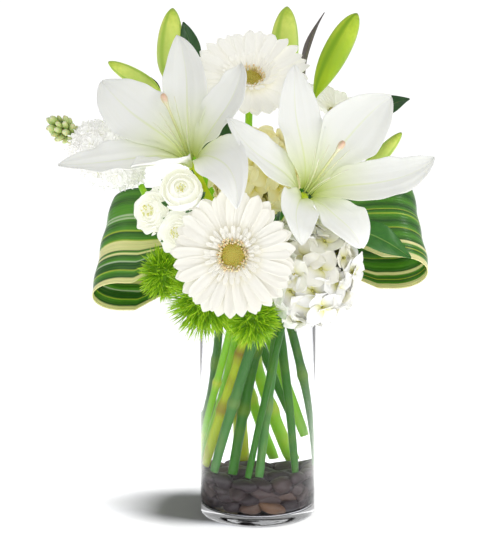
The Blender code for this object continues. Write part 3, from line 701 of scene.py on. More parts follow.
class Form:
    """A mesh being modelled, with the along, across and shade numbers that finishes read."""

    def __init__(self) -> None:
        """Start an empty mesh."""
        self.bm = bmesh.new()
        layers = self.bm.verts.layers.float
        for name in ("along", "across", "shade"):
            layers.new(name)
        self.along, self.across, self.shade = (layers[n] for n in ("along", "across", "shade"))

    def blade(self, columns: int, rows: int, shape: Callable[[float, float], Vector],
              shade: float = 0.0) -> None:
        """Lay a grid and bend it into a blade.

        Args:
            columns: Faces from root to tip.
            rows: Faces from side to side.
            shape: Gives the place at an along from 0 to 1 and an across from -1 to 1.
            shade: The blade's own tint.
        """
        made = bmesh.ops.create_grid(self.bm, x_segments=columns, y_segments=rows, size=1.0)
        for vert in made["verts"]:
            along, across = (vert.co.x + 1) / 2, vert.co.y
            vert[self.along], vert[self.across], vert[self.shade] = along, across, shade
            vert.co = shape(along, across)

    def rod(self, route: Sequence[Vector], radii: Sequence[float], sides: int = 10,
            shade: float | Sequence[float] = 0.0, lobes: int = 0, lobe_depth: float = 0.0) -> None:
        """Raise a closed rod ring by ring and bend it along a route.

        Args:
            route: The rod's middle line.
            radii: The radius at each step of the route.
            sides: Points round the rod.
            shade: One tint, or a tint at each step.
            lobes: Ridges round the rod.
            lobe_depth: How much lower the hollows between the ridges are, as a share.
        """
        ring = bmesh.ops.create_circle(self.bm, cap_ends=True, segments=sides, radius=1.0)["verts"]
        made = list(ring)
        rim = list({edge for vert in ring for edge in vert.link_edges})
        for _ in route[1:]:
            grown = bmesh.ops.extrude_edge_only(self.bm, edges=rim)["geom"]
            tops = [item for item in grown if isinstance(item, bmesh.types.BMVert)]
            rim = [item for item in grown if isinstance(item, bmesh.types.BMEdge)]
            bmesh.ops.translate(self.bm, vec=(0, 0, 1), verts=tops)
            made += tops
        bmesh.ops.edgeloop_fill(self.bm, edges=rim)
        self._bend(made, route, radii, shade, lobes, lobe_depth)

    def _bend(self, made: list[bmesh.types.BMVert], route: Sequence[Vector],
              radii: Sequence[float], shade: float | Sequence[float], lobes: int,
              lobe_depth: float) -> None:
        """Bend a straight unit rod, whose rings stand 1 apart, along a route.

        Args:
            made: The rod's points.
            route: The middle line that it takes.
            radii: The radius at each step.
            shade: One tint, or a tint at each step.
            lobes: Ridges round the rod.
            lobe_depth: How much lower the hollows between the ridges are, as a share.
        """
        last = len(route) - 1
        side = (route[1] - route[0]).orthogonal().normalized()
        frames = []
        for step, spot in enumerate(route):
            ahead = (route[min(step + 1, last)] - route[max(step - 1, 0)]).normalized()
            side = (side - ahead * side.dot(ahead)).normalized()
            frames.append((spot, side, ahead.cross(side)))
        for vert in made:
            step = min(last, max(0, round(vert.co.z)))
            angle = atan2(vert.co.y, vert.co.x)
            crest = cos(lobes * angle) if lobes else 0.0
            reach = radii[step] * (1 - lobe_depth * (0.5 - 0.5 * crest))
            spot, first, second = frames[step]
            vert[self.along] = step / last
            vert[self.across] = crest
            vert[self.shade] = shade if isinstance(shade, (int, float)) else shade[step]
            vert.co = spot + reach * (first * cos(angle) + second * sin(angle))

    def ball(self, matrix: Matrix, detail: int = 2, rough: float = 0.0, shade: float = 0.0,
             pitch: float = 1.0) -> None:
        """Add a round body, roughened if wanted.

        Args:
            matrix: Its place, turn and size, for a ball of radius 1.
            detail: Subdivisions of the ball.
            rough: How far noise moves the surface, as a share.
            shade: Its own tint.
            pitch: How fine the noise is.
        """
        made = bmesh.ops.create_icosphere(self.bm, subdivisions=detail, radius=1.0)["verts"]
        seed = matrix.translation * 311.0
        for vert in made:
            lift = 1 + rough * noise.noise(vert.co * pitch + seed) if rough else 1.0
            vert[self.along], vert[self.shade] = (vert.co.z + 1) / 2, shade
            vert.co = matrix @ (vert.co * lift)

    def turn(self, outline: Sequence[tuple[float, float]], steps: int) -> None:
        """Turn an outline of (radius, height) points round the Z axis into a closed solid."""
        line = [self.bm.verts.new((radius, 0, height)) for radius, height in outline]
        edges = [self.bm.edges.new(pair) for pair in zip(line, line[1:])]
        bmesh.ops.spin(self.bm, geom=line + edges, cent=(0, 0, 0), axis=(0, 0, 1),
                       angle=2 * pi, steps=steps, use_merge=True)
        bmesh.ops.remove_doubles(self.bm, verts=self.bm.verts, dist=0.000005)

    def piece(self, name: str, slot: str, finish: Finish, stands_for: Sequence[str] = (),
              thickness: float = 0.0, levels: int = 0) -> bpy.types.Object:
        """Turn the mesh into a finished piece that rides on the bouquet.

        Args:
            name: The piece's name.
            slot: The record's material slot; it is not used.
            finish: The finish that it is dressed in.
            stands_for: The solids of the frame that it replaces.
            thickness: The thickness that a sheet gets.
            levels: Rounds of smoothing subdivision.

        Returns:
            The new object.
        """
        bmesh.ops.recalc_face_normals(self.bm, faces=self.bm.faces)
        mesh = bpy.data.meshes.new(name)
        self.bm.to_mesh(mesh)
        self.bm.free()
        mesh.shade_smooth()
        mesh.materials.append(finish.material)
        made = bpy.data.objects.new(name, mesh)
        bpy.context.scene.collection.objects.link(made)
        if thickness:
            wall = made.modifiers.new("thickness", "SOLIDIFY")
            wall.thickness, wall.offset = thickness, 0.0
        if levels:
            smooth = made.modifiers.new("smooth", "SUBSURF")
            smooth.levels = smooth.render_levels = levels
        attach(made, "root")
        if stands_for:
            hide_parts(*stands_for)
        LOG.info("%s: %d faces, %s", name, len(mesh.polygons), finish.value.name)
        return made


# ---- vase, water and stones ---------------------------------------------------------------------
@dataclass
class Vase:
    """The clear cylinder with its thick floor, and the water that fills it."""

    radius: float = 0.051
    height: float = 0.203
    wall: float = 0.0040
    floor: float = 0.0085
    rim_round: float = 0.0019
    foot_round: float = 0.0022
    well_round: float = 0.0045
    foot_hollow: float = 0.0012
    arc_steps: int = 6
    steps: int = 128
    water_level: float = 0.190
    water_lip: float = 0.0004
    water_rise: float = 0.0022
    overlap: float = 0.0005

    @property
    def inner(self) -> float:
        """The radius of the space inside."""
        return self.radius - self.wall

    def corner(self, radius: float, height: float, size: float, start: float,
               end: float) -> list[tuple[float, float]]:
        """Round one corner of the outline.

        Args:
            radius: The arc centre's radius.
            height: The arc centre's height.
            size: The arc's own radius.
            start: Its first angle in degrees.
            end: Its last angle in degrees.

        Returns:
            The points of the arc.
        """
        count = self.arc_steps
        turns = [radians(start + (end - start) * k / count) for k in range(count + 1)]
        return [(radius + size * cos(turn), height + size * sin(turn)) for turn in turns]

    def build_glass(self) -> None:
        """Turn the glass, with rounded rim, foot and well."""
        rim, foot, well = self.rim_round, self.foot_round, self.well_round
        outline = [(0.0, self.foot_hollow), (self.radius * 0.55, self.foot_hollow - 0.0002)]
        outline += self.corner(self.radius - foot, foot, foot, -90, 0)
        outline += [(self.radius, self.height * 0.5)]
        outline += self.corner(self.radius - rim, self.height - rim, rim, 0, 90)
        outline += self.corner(self.inner + rim, self.height - rim, rim, 90, 180)
        outline += [(self.inner, self.height * 0.5)]
        outline += self.corner(self.inner - well, self.floor + well, well, 0, -90)
        outline += [(0.0, self.floor)]
        form = Form()
        form.turn(outline, self.steps)
        form.piece("cylinder_vase", "clear_glass", Finish.GLASS, ["vase"])

    def build_water(self) -> None:
        """Turn the water, which enters the glass a little so that no air shows between them."""
        edge, base = self.inner + self.overlap, self.floor - self.overlap
        well = self.well_round + self.overlap
        lip, rise = self.water_lip, self.water_rise
        outline = [(0.0, base), (edge * 0.5, base)]
        outline += self.corner(edge - well, base + well, well, -90, 0)
        outline += [(edge, self.water_level * 0.5), (edge, self.water_level)]
        outline += self.corner(edge - lip, self.water_level + rise - lip, lip, 0, 90)
        outline += self.corner(edge - lip - rise, self.water_level + rise, rise, 0, -90)[1:]
        outline += [(edge * 0.7, self.water_level), (0.0, self.water_level)]
        form = Form()
        form.turn(outline, self.steps)
        form.piece("vase_water", "clear_glass", Finish.WATER)

    def build(self) -> None:
        """Build the glass and the water."""
        self.build_glass()
        self.build_water()


@dataclass
class StoneBed:
    """River stones of many browns that cover the vase's floor."""

    vase: Vase
    top: float = 0.0420
    long: float = 0.0225
    short: float = 0.0170
    thick: float = 0.0125
    layers: int = 4
    rings: tuple[tuple[float, int], ...] = ((1.0, 14), (0.60, 8), (0.2, 3))
    gap: float = 0.0018
    seed: int = 11

    def stone(self, form: Form, spot: Vector, spin: float, chance: Random) -> None:
        """Add one stone, flattened and lumpy in its own way.

        Args:
            form: The mesh that it joins.
            spot: Its middle.
            spin: Its turn about the vertical, in radians.
            chance: The source of its differences.
        """
        size = (self.long / 2 * chance.uniform(0.80, 1.18),
                self.short / 2 * chance.uniform(0.8, 1.1),
                self.thick / 2 * chance.uniform(0.85, 1.15))
        turn = (Matrix.Rotation(spin, 4, "Z") @ Matrix.Rotation(chance.uniform(-0.4, 0.4), 4, "Y")
                @ Matrix.Rotation(chance.uniform(-0.3, 0.3), 4, "X"))
        shade = clamped(chance.gauss(0.42, 0.20))
        form.ball(Matrix.Translation(spot) @ turn @ Matrix.Diagonal((*size, 1.0)), 3, 0.30,
                  shade, 0.85)

    def build(self) -> None:
        """Lay the stones in rings, layer on layer, inside the glass."""
        chance = Random(self.seed)
        form = Form()
        low = self.vase.floor + self.thick / 2
        rise = (self.top - self.thick / 2 - low) / (self.layers - 1)
        outer = self.vase.inner - self.short / 2 - self.gap
        for layer in range(self.layers):
            height = low + rise * layer
            start = chance.uniform(0, pi)
            for share, count in self.rings:
                for index in range(count):
                    angle = start + 2 * pi * (index + chance.uniform(-0.16, 0.16)) / count
                    reach = outer * share - abs(chance.gauss(0, 0.0011))
                    lift = chance.uniform(-0.0022, 0.0022) + (0.0015 if share < 1 else 0.0)
                    lift = max(lift, low - height)
                    spot = Vector((reach * cos(angle), reach * sin(angle), height + lift))
                    self.stone(form, spot, angle + pi / 2 + chance.uniform(-0.5, 0.5), chance)
        form.piece("river_stone_bed", "river_stone", Finish.STONE, ["river_stones"])


# ---- stems --------------------------------------------------------------------------------------
@dataclass(frozen=True)
class StemPlan:
    """One stem: its place in the bundle, its route above the neck, its finish and its joints.

    Its side branches leave from the second point above the neck and carry the named roses.
    """

    waist_angle: float
    waist_radius: float
    radius: float
    above: tuple[Point, ...]
    finish: Finish
    joints: tuple[float, ...] = ()
    raised: float = 0.0
    branches: tuple[str, ...] = ()


@dataclass
class StemBundle:
    """All the stems, crossing in a spiral bundle between the stones and the flowers."""

    waist_height: float = 0.172
    neck_height: float = 0.201
    slope: float = 0.270
    foot_height: float = 0.0435
    joint_swell: float = 0.34
    branch_radius: float = 0.0018
    branch_bow: float = 0.004
    steps: int = 48

    def run(self, plan: StemPlan) -> list[Vector]:
        """Lay out a stem's straight part.

        Args:
            plan: The stem's plan.

        Returns:
            Points from its cut foot to the neck of the vase.
        """
        outward, sideways = compass(radians(plan.waist_angle))
        foot = self.foot_height + plan.raised
        heights = (foot, (foot + self.waist_height) / 2, self.waist_height, self.neck_height)
        return [plan.waist_radius * outward + self.slope * (h - self.waist_height) * sideways
                + Vector((0, 0, h)) for h in heights]

    def stem(self, form: Form, name: str, plan: StemPlan) -> None:
        """Add one stem with its swollen joints and its cut foot.

        Args:
            form: The mesh that it joins.
            name: The stem's name, which seeds its small unevenness.
            plan: The stem's plan.
        """
        chance = Random(name)
        route = smooth_route(self.run(plan) + [Vector(p) for p in plan.above], self.steps)
        radii, shades = [], []
        for step in range(self.steps):
            share = step / (self.steps - 1)
            swell = sum(exp(-((share - joint) * self.steps / 0.9) ** 2) for joint in plan.joints)
            radii.append(plan.radius * (1 + self.joint_swell * swell + chance.uniform(-0.02, 0.02)))
            shades.append(min(1.0, 0.9 * swell))
        radii[0] *= 0.90
        form.rod(route, radii, 14, shades, lobes=6, lobe_depth=0.05)

    def branch(self, form: Form, fork: Vector, end: Vector, steps: int = 14) -> None:
        """Add a thin, slightly bowed side branch.

        Args:
            form: The mesh of its stem.
            fork: Where it leaves the stem.
            end: Where it meets its flower.
            steps: How many steps it takes.
        """
        bow = fork.lerp(end, 0.5) + Vector((0, self.branch_bow, 0))
        form.rod(smooth_route([fork, bow, end], steps), [self.branch_radius] * steps, 8)

    def build(self) -> None:
        """Build every stem as a piece of its own."""
        for name, plan in STEMS.items():
            form = Form()
            self.stem(form, name, plan)
            for rose in plan.branches:
                self.branch(form, Vector(plan.above[1]), ROSES[rose].seat)
            form.piece(name.replace("_stem", "_stalk"), "stem_green", plan.finish, [name])


STEMS = {
    "lily_left_stem": StemPlan(168, 0.0150, 0.0040, (
        (-0.026, -0.012, 0.250), (-0.045, -0.035, 0.292), (-0.0556, -0.0559, 0.3196)),
        Finish.STEM_LIME, (0.16, 0.30, 0.42)),
    "lily_right_stem": StemPlan(-112, 0.0150, 0.0040, (
        (0.012, -0.020, 0.240), (0.025, -0.044, 0.272), (0.0376, -0.0703, 0.2947)),
        Finish.STEM_LIME, (0.20, 0.38)),
    "bud_left_stem": StemPlan(128, 0.0150, 0.0037, (
        (-0.030, 0.014, 0.260), (-0.052, 0.014, 0.310), (-0.056, 0.014, 0.318)),
        Finish.STEM_FRESH, (0.18, 0.34)),
    "bud_right_stem": StemPlan(-22, 0.0150, 0.0037, (
        (0.022, 0.012, 0.260), (0.030, 0.014, 0.310), (0.032, 0.016, 0.315)),
        Finish.STEM_BLUE, (0.22,)),
    "gerbera_front_stem": StemPlan(-152, 0.0150, 0.0033, (
        (-0.006, -0.052, 0.236), (-0.014, -0.085, 0.250), (-0.0226, -0.1063, 0.2520)),
        Finish.STEM_FRESH),
    "gerbera_top_stem": StemPlan(78, 0.0140, 0.0033, (
        (-0.008, 0.016, 0.270), (-0.008, 0.022, 0.345), (-0.0070, 0.0051, 0.3799)),
        Finish.STEM_FRESH, raised=0.026),
    "gerbera_back_stem": StemPlan(28, 0.0150, 0.0033, (
        (0.030, 0.030, 0.262), (0.050, 0.036, 0.320), (0.0660, 0.0448, 0.3469)),
        Finish.STEM_DEEP),
    "hydrangea_upper_stem": StemPlan(-40, 0.0030, 0.0041, (
        (0.0, -0.018, 0.240), (-0.002, -0.031, 0.268)), Finish.STEM_DEEP, (0.24, 0.46)),
    "hydrangea_lower_stem": StemPlan(-92, 0.0240, 0.0041, (
        (0.020, -0.036, 0.216),), Finish.STEM_BLUE, (0.35, 0.70)),
    "rose_stem": StemPlan(-178, 0.0260, 0.0028, (
        (-0.030, -0.034, 0.228), (-0.046, -0.060, 0.256), (-0.0612, -0.0803, 0.2938)),
        Finish.STEM_DEEP, (0.12, 0.33), branches=("rose_2", "rose_3")),
    "stock_stem": StemPlan(132, 0.0260, 0.0029, (
        (-0.055, -0.023, 0.238), (-0.086, -0.030, 0.270), (-0.101, -0.012, 0.2955)),
        Finish.STEM_FRESH, (0.2,)),
    "green_trick_stem": StemPlan(-140, 0.0260, 0.0028, (
        (-0.027, -0.040, 0.2135), (-0.032, -0.0485, 0.2160)), Finish.STEM_FRESH, (0.40, 0.8)),
    "aspidistra_left_stem": StemPlan(100, 0.0260, 0.0029, (
        (-0.046, 0.014, 0.219), (-0.060, 0.014, 0.222)), Finish.STEM_DEEP, raised=0.038),
    "aspidistra_right_stem": StemPlan(-48, 0.0260, 0.0029, (
        (0.046, 0.010, 0.219), (0.060, 0.010, 0.222)), Finish.STEM_DEEP),
    "foliage_stem": StemPlan(48, 0.0270, 0.0027, (
        (0.008, 0.046, 0.256), (0.005, 0.056, 0.310)), Finish.STEM_DEEP, (0.3,)),
}


# ---- lilies -------------------------------------------------------------------------------------
@dataclass(frozen=True)
class PetalCut:
    """How one lily petal differs from the next: angles in degrees, lengths in metres."""

    angle: float
    drift: float
    length: float
    width: float
    flare: float
    curl: float


@dataclass
class Lily:
    """An open lily: two whorls of three petals, filaments without anthers and a pistil."""

    side: str
    throat: Point
    axis: Point
    cuts: tuple[PetalCut, ...]
    root: float = 0.0060
    throat_depth: float = 0.0040
    clearance: float = 0.0022
    inner_share: float = radians(50)
    outer_share: float = radians(37)
    cup: float = 0.28
    pistil_length: float = 0.072
    style_radii: tuple[float, ...] = (0.0013,) * 19 + (0.0016, 0.0026, 0.0033, 0.0031, 0.0014)
    filament_length: float = 0.044
    filament_radius: float = 0.00075
    inside_from: float = 0.004
    thickness: float = 0.0010
    root_lean: float = radians(16)
    bend_share: float = 0.55
    front: Point = (0.0, -0.983, 0.182)
    whorl_step: float = 0.0014
    groove: float = 0.0011
    uneven: float = 0.0022

    def matrix(self) -> Matrix:
        """Return the flower's own frame: +Z along its axis and +X towards its top."""
        axis = Vector(self.axis).normalized()
        front = Vector(self.front)
        uphill = axis - front * axis.dot(front)
        uphill = (uphill - axis * uphill.dot(axis)).normalized()
        turn = Matrix((uphill, axis.cross(uphill), axis)).transposed().to_4x4()
        return Matrix.Translation(Vector(self.throat) - self.throat_depth * axis) @ turn

    def profile(self, cut: PetalCut, steps: int = 60) -> list[tuple[float, float, float]]:
        """Follow a petal's middle from the throat to its tip.

        Args:
            cut: The petal's differences.
            steps: How many steps to take.

        Returns:
            Radius, height and lean at each step.
        """
        start, flare, curl = self.root_lean, radians(cut.flare), radians(cut.curl)
        radius, height = self.root, 0.0
        line = [(radius, height, start)]
        for step in range(1, steps + 1):
            x = (step - 0.5) / steps
            opening = 1 - (1 - min(1, x / self.bend_share)) ** 2
            past = max(0.0, (x - self.bend_share) / (1 - self.bend_share))
            lean = start + (flare - start) * opening + curl * past ** 2
            radius += sin(lean) * cut.length / steps
            height += cos(lean) * cut.length / steps
            line.append((radius, height, lean))
        return line

    def petal(self, form: Form, cut: PetalCut, index: int) -> None:
        """Add one petal, cupped, grooved along its middle and waved at its edges.

        Args:
            form: The mesh that it joins.
            cut: The petal's differences.
            index: Its number; even petals are the broad inner ones.
        """
        line = self.profile(cut)
        share = self.inner_share if index % 2 == 0 else self.outer_share
        matrix = self.matrix()
        wave = 0.0016 if index % 2 == 0 else 0.0009

        def shape(x: float, side: float) -> Vector:
            """Place one point of the petal."""
            at = min(len(line) - 1.001, x * (len(line) - 1))
            low, part = int(at), at - int(at)
            radius, height, lean = (a + (b - a) * part for a, b in zip(line[low], line[low + 1]))
            outward, across = compass(radians(cut.angle) + radians(cut.drift) * x * x)
            inward = sin(lean) * Vector((0, 0, 1)) - cos(lean) * outward
            full = max(0.03, sin(pi * x ** 0.95) ** 0.80) if 0 < x < 1 else 0.03
            half = min(cut.width / 2 * full, (radius - self.clearance) * sin(share))
            height -= self.whorl_step * (index % 2)
            rise = self.cup * side * side * half
            rise -= self.groove * exp(-(side / 0.16) ** 2) * sin(pi * min(1.0, x * 1.1)) ** 0.5
            ripple = sin(2 * pi * (3.1 * x + 0.37 * index)) + 0.6 * sin(2 * pi * (5.3 * x + index))
            rise += wave * abs(side) ** 3 * ripple * sin(pi * x)
            spot = Vector((2.6 * x, 1.3 * side, 7.3 * index + cut.length))
            rise += self.uneven * noise.noise(spot)
            place = radius * outward + Vector((0, 0, height)) + side * half * across
            return matrix @ (place + rise * inward)

        form.blade(44, 14, shape, 0.03 * (index % 3))

    def filaments(self, form: Form) -> None:
        """Add six slim filaments round the pistil, bare at their tips."""
        matrix = self.matrix()
        for index in range(6):
            way, _ = compass(radians(30 + 60 * index))
            length = self.filament_length + 0.005 * (index % 3)
            route = [matrix @ (way * (0.0032 + 0.013 * (k / 9) ** 1.6)
                               + Vector((0.003 * (k / 9) ** 2, 0,
                                         self.inside_from + length * k / 9)))
                     for k in range(10)]
            form.rod(route, [self.filament_radius - 0.00004 * k for k in range(10)], 6)

    def build(self) -> None:
        """Build the petals, the filaments and the pistil."""
        nodes = [f"lily_{self.side}_petal_{k + 1}" for k in range(len(self.cuts))]
        for whorl, word in ((0, "inner"), (1, "outer")):
            form = Form()
            for index in range(whorl, len(self.cuts), 2):
                self.petal(form, self.cuts[index], index)
            form.piece(f"{self.side}_lily_{word}_petals", "lily_petal", Finish.LILY,
                       nodes[whorl::2], self.thickness, 1)
        form = Form()
        self.filaments(form)
        form.piece(f"{self.side}_lily_filaments", "lily_pistil", Finish.FILAMENT)
        matrix = self.matrix()
        last = len(self.style_radii) - 1
        route = [matrix @ Vector((0.004 * (k / last) ** 2, 0,
                                  self.inside_from + self.pistil_length * k / last))
                 for k in range(last + 1)]
        form = Form()
        form.rod(route, self.style_radii, 18, lobes=3, lobe_depth=0.25)
        form.piece(f"{self.side}_lily_style", "lily_pistil", Finish.PISTIL,
                   [f"lily_{self.side}_pistil"], levels=1)


LILIES = (
    Lily("left", (-0.0575, -0.0600, 0.3250), (-0.274, -0.578, 0.768), (
        PetalCut(35, -10, 0.112, 0.056, 74, 25), PetalCut(-25, 8, 0.118, 0.040, 72, 15),
        PetalCut(-85, 30, 0.094, 0.042, 70, 35), PetalCut(-145, -23, 0.100, 0.046, 82, 60),
        PetalCut(95, -15, 0.112, 0.040, 76, 25), PetalCut(155, -20, 0.086, 0.040, 48, 10))),
    Lily("right", (0.0400, -0.0750, 0.2990), (0.355, -0.691, 0.629), (
        PetalCut(55, -11, 0.110, 0.042, 74, 20), PetalCut(115, -23, 0.094, 0.036, 80, 30),
        PetalCut(175, 28, 0.060, 0.036, 82, 80), PetalCut(-117, 10, 0.072, 0.048, 80, 80),
        PetalCut(-62, 22, 0.117, 0.040, 76, 25), PetalCut(0, -6, 0.114, 0.054, 68, 25))),
)


@dataclass(frozen=True)
class Bud:
    """A closed lily bud: its stalk's and body's route, its fullest radius and its finish."""

    points: tuple[Point, ...]
    fullest: float
    finish: Finish = Finish.BUD
    belly: float = 0.42
    stalk_share: float = 0.42
    stalk_radius: float = 0.0017

    def build(self, name: str) -> None:
        """Build the bud with its three ridges and its stalk."""
        count = 46
        route = smooth_route(self.points, count)
        radii, shades = [], []
        for index in range(count):
            x = max(0.0, (index / (count - 1) - self.stalk_share) / (1 - self.stalk_share))
            rise = sin(pi / 2 * min(1.0, x / self.belly)) ** 0.8
            close = max(0.0, 1 - (max(0.0, x - self.belly) / (1 - self.belly)) ** 2.4) ** 0.62
            least = self.stalk_radius * (1 if x < 0.7 else 0.5)
            radii.append(max(least, self.fullest * rise * close))
            shades.append(0.55 * sin(pi * x) ** 2 if x > 0 else 0.0)
        form = Form()
        form.rod(route, radii, 30, shades, lobes=3, lobe_depth=0.16)
        form.piece(name.replace("lily_bud", "closed_lily_bud"), "lily_bud_green", self.finish,
                   [name], levels=1)


BUDS = {
    "lily_bud_1": Bud(((-0.056, 0.018, 0.322), (-0.070, 0.022, 0.372), (-0.076, 0.024, 0.402),
                       (-0.074, 0.024, 0.446)), 0.0125),
    "lily_bud_2": Bud(((-0.063, 0.008, 0.326), (-0.080, 0.004, 0.362), (-0.096, 0.002, 0.381),
                       (-0.129, 0.002, 0.401)), 0.0080),
    "lily_bud_3": Bud(((0.028, 0.026, 0.322), (0.025, 0.044, 0.360), (0.0236, 0.056, 0.388),
                       (0.026, 0.058, 0.446)), 0.0140),
    "lily_bud_4": Bud(((0.037, 0.012, 0.316), (0.044, 0.000, 0.352), (0.052, -0.010, 0.380),
                       (0.084, -0.010, 0.443)), 0.0122, Finish.BUD_LIME, 0.55),
    "lily_bud_5": Bud(((0.044, 0.010, 0.290), (0.070, 0.012, 0.296), (0.098, 0.018, 0.309),
                       (0.126, 0.020, 0.338)), 0.0070),
}


# ---- gerberas -----------------------------------------------------------------------------------
@dataclass(frozen=True)
class RayRing:
    """One ring of rays: how many, from where to where, how wide and how high they stand."""

    count: int
    start: float
    reach: float
    width: float
    lift: float
    droop: float


# The rings of a gerbera of DRAWN_RADIUS, from the outermost to the innermost.
DRAWN_RADIUS = 0.051
RAY_RINGS = (RayRing(29, 0.0100, 0.0525, 0.0112, 0.0006, 0.0014),
             RayRing(25, 0.0100, 0.0512, 0.0104, 0.0014, 0.0008),
             RayRing(26, 0.0095, 0.0250, 0.0040, 0.0022, 0.0),
             RayRing(34, 0.0105, 0.0190, 0.0026, 0.0030, 0.0))
# The rings of green bracts behind a gerbera: where they start, as a share, and how many.
BRACT_RINGS = ((0.80, 16), (0.60, 12))


@dataclass
class Gerbera:
    """A gerbera: four rings of grooved rays round an eye of tiny florets."""

    name: str
    centre: Point
    normal: Point
    radius: float
    rise: float
    own_eye: bool
    eye_radius: float = 0.0130
    eye_grains: int = 90
    stamens: int = 84
    cup_radius: float = 0.0092
    thickness: float = 0.0005
    seed: int = 5
    finish: Finish = Finish.RAY_REAR

    @property
    def scale(self) -> float:
        """The flower's size, as a share of the drawn one."""
        return self.radius / DRAWN_RADIUS

    def ray(self, form: Form, ring: RayRing, angle: float, chance: Random) -> None:
        """Add one ray with its two long grooves and a blunt, notched tip.

        Args:
            form: The mesh that it joins.
            ring: The ring that it belongs to.
            angle: Its angle round the flower.
            chance: The source of its differences.
        """
        matrix = facing(self.centre, self.normal, angle)
        length = (ring.reach - ring.start) * chance.uniform(0.93, 1.03)
        lean, lift = chance.uniform(-0.10, 0.10), ring.lift + chance.uniform(-0.0012, 0.0012)
        roll, side_bow = chance.uniform(-0.16, 0.16), chance.uniform(-0.05, 0.05)

        def shape(x: float, side: float) -> Vector:
            """Place one point of the ray."""
            belly = 0.45 + 0.55 * sin(pi / 2 * min(1.0, x / 0.70))
            tip = sqrt(max(0.0, 1 - max(0.0, (x - 0.86) / 0.14) ** 2))
            half = ring.width / 2 * belly * max(tip, 0.12)
            out = ring.start + length * (x - 0.03 * abs(sin(side * pi * 1.5)) * (x > 0.9))
            height = lift * sin(pi / 2 * min(1.0, x * 1.6)) + self.rise * x - ring.droop * x * x
            height += 0.0004 * cos(side * pi * 1.5) * sin(pi * min(1.0, x + 0.1))
            height += roll * side * half + 0.10 * half * side * side
            across = side * half + lean * ring.width * x + side_bow * length * x * x
            return matrix @ Vector((out, across, height))

        form.blade(9, 6, shape, chance.uniform(0.0, 0.16))

    def eye(self, form: Form) -> None:
        """Add the eye: packed olive florets as a piece of their own, and cream stamens round them.

        Args:
            form: The mesh that the stamens join.
        """
        scale = self.scale
        matrix = facing(self.centre, self.normal)
        size = self.eye_radius * scale
        chance = Random(self.seed + 1)
        dome = matrix @ Matrix.Diagonal((size * 0.80, size * 0.80, 0.0026 * scale, 1.0))
        core = Form()
        core.ball(dome, 3, 0.25, 0.35, 3.0)
        for index in range(self.eye_grains):
            reach = size * 0.62 * sqrt((index + 0.5) / self.eye_grains)
            spot = Vector((reach * cos(GOLDEN * index), reach * sin(GOLDEN * index),
                           0.0030 * scale - 0.9 * reach * reach / size * 0.12))
            grain = Matrix.Translation(matrix @ spot) @ Matrix.Scale(0.00062 * scale, 4)
            core.ball(grain, 1, 0.0, chance.uniform(0.0, 0.6))
        core.piece(f"{self.name}_eye_core", "gerbera_eye", Finish.EYE_CORE)
        for index in range(self.stamens):
            way, _ = compass(GOLDEN * index)
            reach = size * chance.uniform(0.66, 0.98)
            lean = chance.uniform(0.15, 0.6)
            tall = chance.uniform(0.0032, 0.0052) * scale
            route = [matrix @ (way * (reach + lean * tall * (k / 4) ** 2)
                               + Vector((0, 0, 0.0010 + tall * k / 4))) for k in range(5)]
            form.rod(route, [r * scale for r in (0.0005, 0.0005, 0.0005, 0.0008, 0.0006)], 5,
                     chance.uniform(0.0, 0.9))

    def build(self) -> None:
        """Build the rays and the eye."""
        chance = Random(self.seed)
        scale = self.scale
        form = Form()
        for ring in RAY_RINGS:
            sized = RayRing(ring.count, *(value * scale for value in (
                ring.start, ring.reach, ring.width, ring.lift, ring.droop)))
            turn = chance.uniform(0, 1)
            for index in range(ring.count):
                angle = 2 * pi * (index + turn + chance.uniform(-0.22, 0.22)) / ring.count
                self.ray(form, sized, angle, chance)
        back = facing(self.centre, self.normal) @ Matrix.Translation((0, 0, -0.0030 * scale))
        form.piece(f"{self.name}_rays", "gerbera_ray", self.finish, [f"{self.name}_petals"],
                   self.thickness, 1)
        form = Form()
        self.eye(form)
        form.piece(f"{self.name}_eye", "gerbera_eye", Finish.EYE,
                   [f"{self.name}_disc"] if self.own_eye else [])
        form = Form()
        size = self.cup_radius * scale
        form.ball(back @ Matrix.Diagonal((size, size, size * 0.42, 1.0)), 3, 0.2, 0.2, 2.0)
        for ring, count in BRACT_RINGS:
            for index in range(count):
                way, side = compass(2 * pi * (index + ring) / count)

                def shape(x: float, across: float) -> Vector:
                    """Place one point of a small green bract."""
                    half = 0.0019 * scale * (1 - x) ** 0.5 + 0.0001
                    return back @ (way * size * (ring + 0.55 * x) + side * across * half
                                   + Vector((0, 0, size * (0.42 * ring * x - 0.30))))

                form.blade(4, 2, shape, 0.3)
        form.piece(f"{self.name}_bracts", "stem_green", Finish.CORE)


GERBERAS = (
    Gerbera("gerbera_front", (-0.0210, -0.1140, 0.2530), (-0.20, -0.955, 0.12), 0.051, 0.002,
            True, seed=5, finish=Finish.RAY),
    Gerbera("gerbera_top", (-0.0070, 0.0, 0.3860), (0.0, -0.643, 0.766), 0.051, 0.009, True,
            seed=8),
    Gerbera("gerbera_back", (0.0700, 0.0480, 0.3530), (0.50, 0.40, 0.77), 0.036, 0.006, False,
            seed=13),
)


